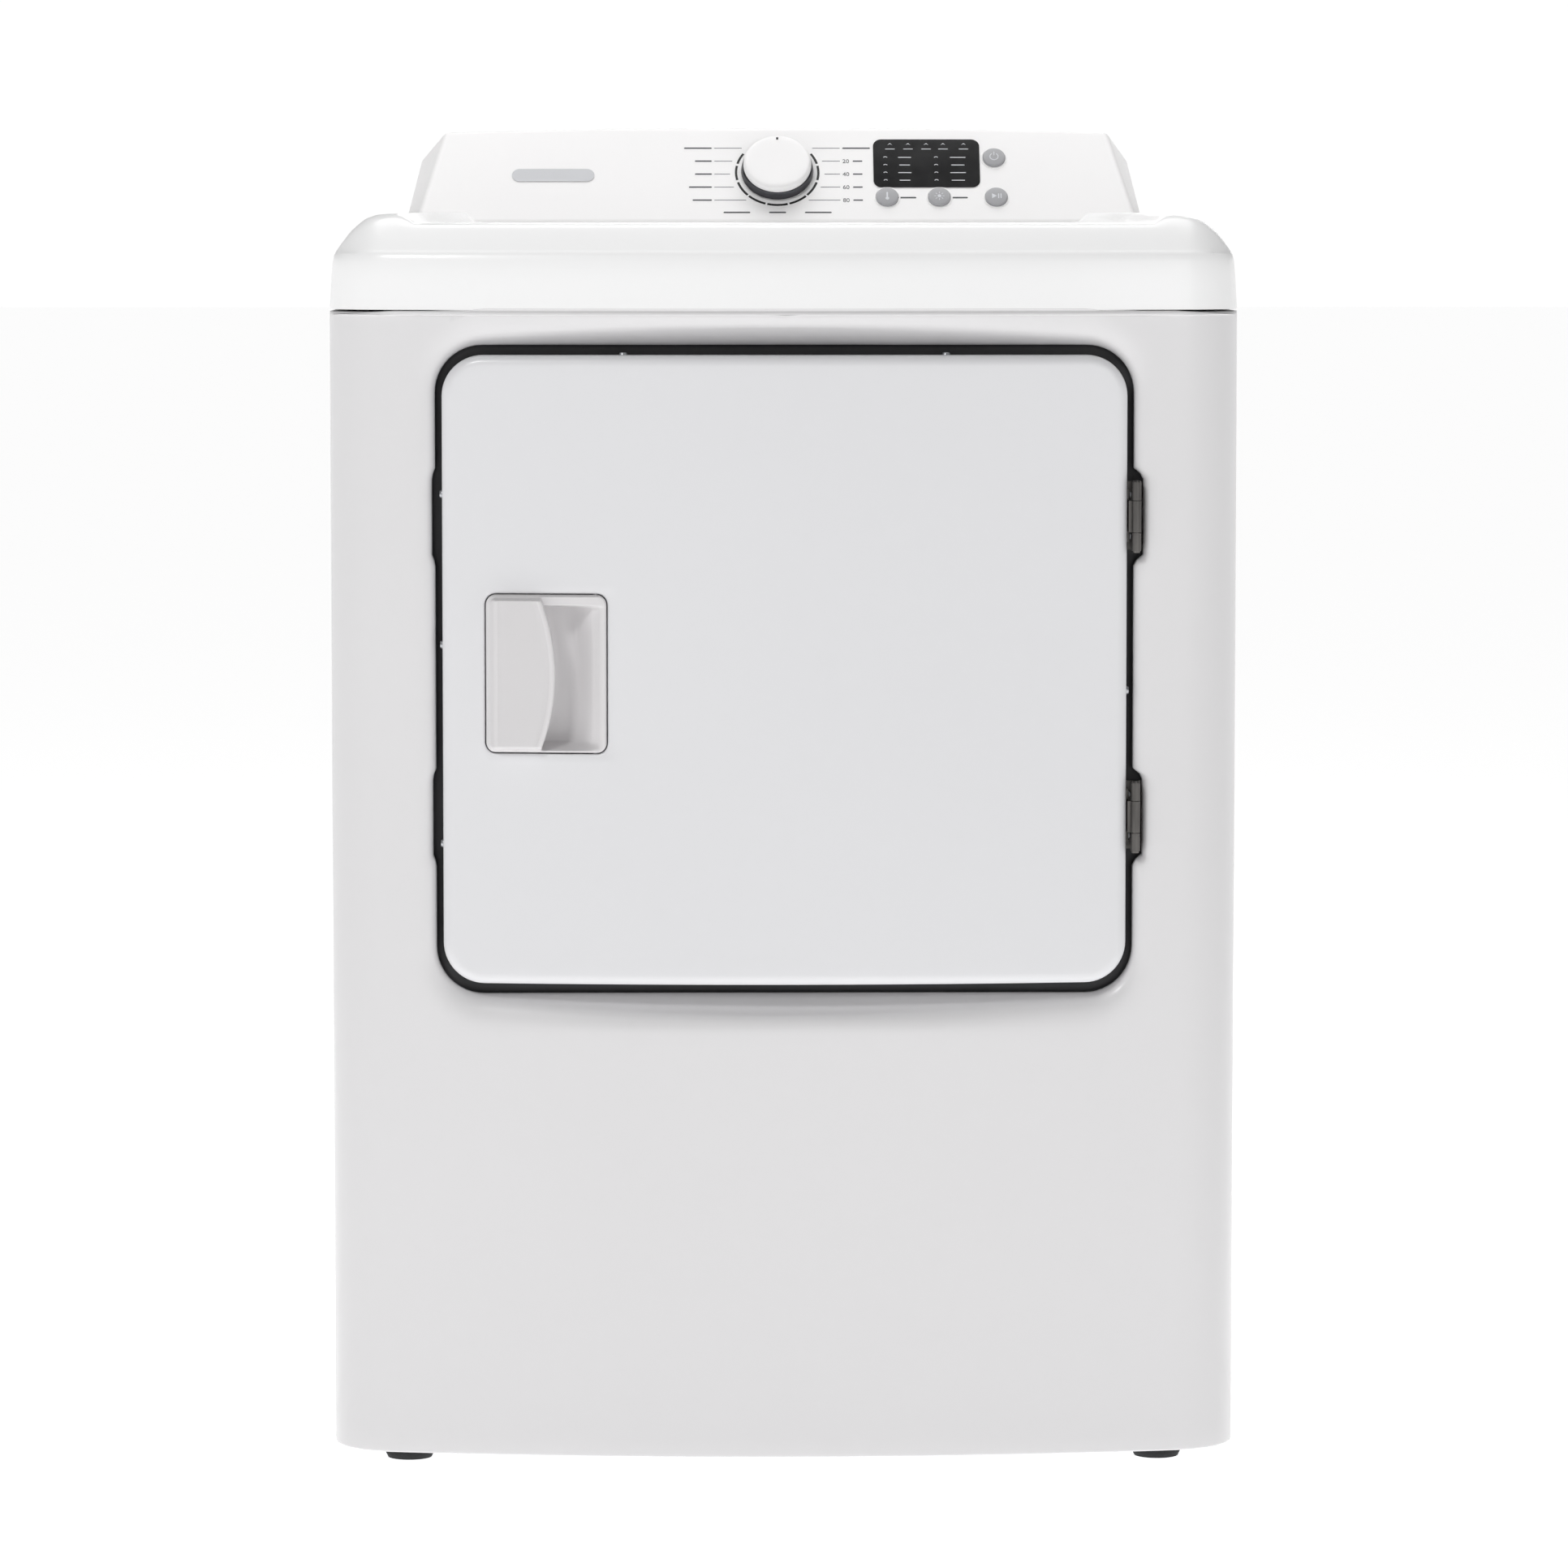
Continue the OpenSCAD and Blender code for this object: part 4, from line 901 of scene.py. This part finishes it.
# Display marks
for i, mark_x in enumerate((94, 109, 124, 138, 155)):
    prism(f"display_tick{i}", [(mark_x - 2, 79), (mark_x, 81), (mark_x + 2, 79), (mark_x, 80.1)],
          0.5, 0.78, "print_light")
    prism(f"display_tag{i}", pill(mark_x, 74.8, 8, 0.7), 0.5, 0.78, "print_light")
for i in range(4):
    t = 66.0 - 8.0 * i
    for c, (x, w) in enumerate(((90, 22), (132, 26))):
        prism(f"display_dot{c}{i}", arc_band(x, t - 1.0, 1.7, 0.6, 30, 150, 8), 0.5, 0.78,
              "print_light")
        prism(f"display_bar{c}{i}", pill(x + 5 + w / 2, t, w * 0.5 - 2 * (i % 2), 0.8), 0.5, 0.78,
              "print_light")

# Buttons: turned caps with a bright rim on the console and an icon each
BUTTONS = (("button_power", "power_key", 180, 65.6), ("button_start", "start_key", 181, 24.4),
           ("button_temp", "temp_key", 91, 24.4), ("button_dryness", "dryness_key", 134, 24.4))
for node, body, bx, bt in BUTTONS:
    v, f = lathe((bx, bt), [(10.6, -5.0), (9.25, -3.6), (9.25, 1.3), (9.1, 1.8), (8.7, 2.2),
                            (8.0, 2.38), (3.0, 2.4)], 56)
    finish_mesh(node + "_cap", v, f, "button_grey", body, replaces=(node,),
                angle=34)
    v, f = lathe((bx, bt), [(9.6, -0.6), (9.7, 0.35), (10.2, 0.55), (10.9, 0.35), (11.1, -0.4)],
                 56, closed=False)
    finish_mesh(node + "_halo", v, f, "white_plastic", "cabinet", angle=40)
    d0, d1 = 2.2, 2.55
    if node == "button_power":
        prism("icon_power_arc", arc_band(bx, bt, 3.4, 0.8, -240, 60), d0, d1, "print_light",
              body)
        prism("icon_power_bar", pill(bx, bt + 3.1, 0.8, 4.0), d0, d1, "print_light", body)
    elif node == "button_start":
        prism("icon_play", [(bx - 3.6, bt - 2.6), (bx + 0.4, bt), (bx - 3.6, bt + 2.6)], d0,
              d1, "print_light", body)
        for k, dx in enumerate((1.8, 3.8)):
            prism(f"icon_pause{k}", pill(bx + dx, bt, 0.9, 5.0), d0, d1, "print_light", body)
    elif node == "button_temp":
        prism("icon_thermo_stem", pill(bx, bt + 1.0, 1.3, 6.0), d0, d1, "print_light", body)
        prism("icon_thermo_bulb", pill(bx, bt - 2.6, 3.0, 3.0, 8), d0, d1 + 0.05,
              "print_light", body)
    else:
        prism("icon_sun", pill(bx, bt, 3.0, 3.0, 8), d0, d1, "print_light", body)
        for k in range(8):
            a = math.pi * k / 4
            ca, sa = math.cos(a), math.sin(a)
            prism(f"icon_ray{k}", [(bx + 2.6 * ca - 0.3 * sa, bt + 2.6 * sa + 0.3 * ca),
                                   (bx + 2.6 * ca + 0.3 * sa, bt + 2.6 * sa - 0.3 * ca),
                                   (bx + 4.2 * ca + 0.3 * sa, bt + 4.2 * sa - 0.3 * ca),
                                   (bx + 4.2 * ca - 0.3 * sa, bt + 4.2 * sa + 0.3 * ca)],
                  d0, d1, "print_light", body)
for i, (x, w) in enumerate(((107.5, 15), (151, 13))):
    prism(f"label_button{i}", pill(x, 24.4, w, 1.5), -0.3, 0.1, "print_grey")

# ---------- carried-over CAD nodes ----------
PLAIN = {
    "base_pan": "galvanised", "side_panel_left": "white_paint",
    "side_panel_right": "white_paint", "rear_panel": "galvanised",
    "console_back": "galvanised", "display_window": "display_black",
    "control_board": "board", "selector_switch": "dark_plastic", "badge_plate": "badge",
    "door_inner": "door_paint", "door_seal": "rubber_grey",
    "door_strike": "steel", "hinge_frame_leaves": "hinge_nickel",
    "hinge_door_leaves": "hinge_nickel", "door_screws": "steel", "frame_fasteners": "steel",
    "front_bulkhead": "galvanised", "drum_felts": "felt", "drum_lamp": "lamp",
    "sensor_bars": "steel", "door_catch": "dark_plastic", "door_switch": "dark_plastic",
    "switch_plunger": "white_plastic", "lint_chute": "dark_plastic",
    "lint_filter": "grey_plastic", "drum_shell": "drum_metal", "drum_baffles": "white_plastic",
    "drum_belt": "rubber_black", "rear_bulkhead": "galvanised", "heater_box": "galvanised",
    "heater_coil": "coil", "roller_axles": "steel", "roller_left": "rubber_black",
    "roller_right": "rubber_black", "motor_stator": "motor", "motor_bracket": "galvanised",
    "motor_rotor": "steel", "blower_wheel": "dark_plastic", "blower_housing": "dark_plastic",
    "exhaust_duct": "galvanised", "idler_arm": "steel", "idler_pulley": "dark_plastic",
    "terminal_box": "dark_plastic", "cord_grommet": "rubber_black",
    "foot_front_left": "rubber_black", "foot_front_right": "rubber_black",
    "foot_rear_left": "rubber_black", "foot_rear_right": "rubber_black",
}
BEVEL = {"side_panel_left": 0.25, "side_panel_right": 0.25, "display_window": 0.3,
         "badge_plate": 0.25, "hinge_frame_leaves": 0.25, "hinge_door_leaves": 0.25,
         "rear_panel": 0.15, "terminal_box": 0.8, "door_inner": 0.6}
for name, ob in nodes.items():
    key = PLAIN.get(name, "white_plastic")
    slots = ob.data.materials
    if len(slots) == 0:
        slots.append(MATS[key])
    for i in range(len(slots)):
        slots[i] = MATS[key]
    if ob.hide_render:
        continue
    weld = ob.modifiers.new("weld", "WELD")
    weld.merge_threshold = 1e-6
    bev = ob.modifiers.new("bevel", "BEVEL")
    bev.width = BEVEL.get(name, 0.3) * MM
    bev.segments = 2
    bev.limit_method = "ANGLE"
    bev.angle_limit = math.radians(40)
    bev.use_clamp_overlap = True
    bev.harden_normals = False
    for p in ob.data.polygons:
        p.use_smooth = True
    ob.data.set_sharp_from_angle(angle=math.radians(35))
    even = ob.modifiers.new("even_shading", "WEIGHTED_NORMAL")
    even.keep_sharp = True

# ---------- floor, light and camera ----------
def floor():
    """Plain pale studio floor on every side, with no wall, so that the back can be seen."""
    reach = 60.0
    n = 24
    verts = [(lerp(-reach, reach, i / n), lerp(-reach, reach, j / n), 0.0)
             for j in range(n + 1) for i in range(n + 1)]
    faces = [(j * (n + 1) + i, j * (n + 1) + i + 1, (j + 1) * (n + 1) + i + 1,
              (j + 1) * (n + 1) + i) for j in range(n) for i in range(n)]
    me = bpy.data.meshes.new("studio_floor")
    me.from_pydata(verts, [], faces)
    paper = material("studio_paper", (0.9, 0.9, 0.9), rough=0.9, spread=0.004,
                     scale=1.5, bump=0.01, bump_scale=40.0)
    shader = next(n for n in paper.node_tree.nodes if n.type == "BSDF_PRINCIPLED")
    shader.inputs["Emission Color"].default_value = (1, 1, 1, 1)
    shader.inputs["Emission Strength"].default_value = 0.86
    me.materials.append(paper)
    ob = bpy.data.objects.new("studio_floor", me)
    bpy.context.scene.collection.objects.link(ob)


floor()


def area_light(name, loc, target, size, power):
    d = bpy.data.lights.new(name, "AREA")
    d.shape = "RECTANGLE"
    d.size, d.size_y = size
    d.energy = power
    ob = bpy.data.objects.new(name, d)
    bpy.context.scene.collection.objects.link(ob)
    ob.location = loc
    ob.rotation_euler = (Vector(target) - Vector(loc)).to_track_quat("-Z", "Y").to_euler()


area_light("key", (-1.7, -3.0, 3.3), (0, 0, 0.6), (0.8, 0.7), 40)
area_light("fill", (2.3, -3.8, 1.7), (0, 0, 0.6), (1.6, 1.6), 13)
area_light("top", (0.0, 0.45, 3.4), (0, 0, 0.6), (3.2, 1.6), 58)
area_light("behind", (0.6, 3.6, 2.2), (0, 0, 0.6), (2.0, 1.6), 26)
scene = bpy.context.scene
scene.view_settings.view_transform = "Standard"
world_bg = bpy.data.worlds.new("studio_world")
world_bg.use_nodes = True
wt = world_bg.node_tree
sky = wt.nodes["Background"]
sky.inputs[0].default_value = (1, 1, 1, 1)
# Bright band at the horizon all the way round, dimmer overhead
way = wt.nodes.new("ShaderNodeTexCoord")
axes = wt.nodes.new("ShaderNodeSeparateXYZ")
band = wt.nodes.new("ShaderNodeMapRange")
band.interpolation_type = "SMOOTHSTEP"
band.inputs["From Min"].default_value = 0.04
band.inputs["From Max"].default_value = 0.2
band.inputs["To Min"].default_value = 1.02
band.inputs["To Max"].default_value = 0.1
wt.links.new(way.outputs["Generated"], axes.inputs[0])
wt.links.new(axes.outputs["Z"], band.inputs["Value"])
wt.links.new(band.outputs[0], sky.inputs[1])
scene.world = world_bg

# Camera at the photograph's angle
CAMERA_AT = (-0.0691, APEX_Y - 5.210, 0.9695)
CAMERA_TURN = (math.pi / 2 - 0.0836, 0, -0.0131)
cam = bpy.data.cameras.new("camera")
cam.lens = 158.91
cam.sensor_width = 36
cam.clip_end = 300
cam.dof.use_dof = False
cam_ob = bpy.data.objects.new("camera", cam)
scene.collection.objects.link(cam_ob)
cam_ob.location = CAMERA_AT
cam_ob.rotation_euler = CAMERA_TURN
scene.camera = cam_ob

bpy.context.view_layer.update()
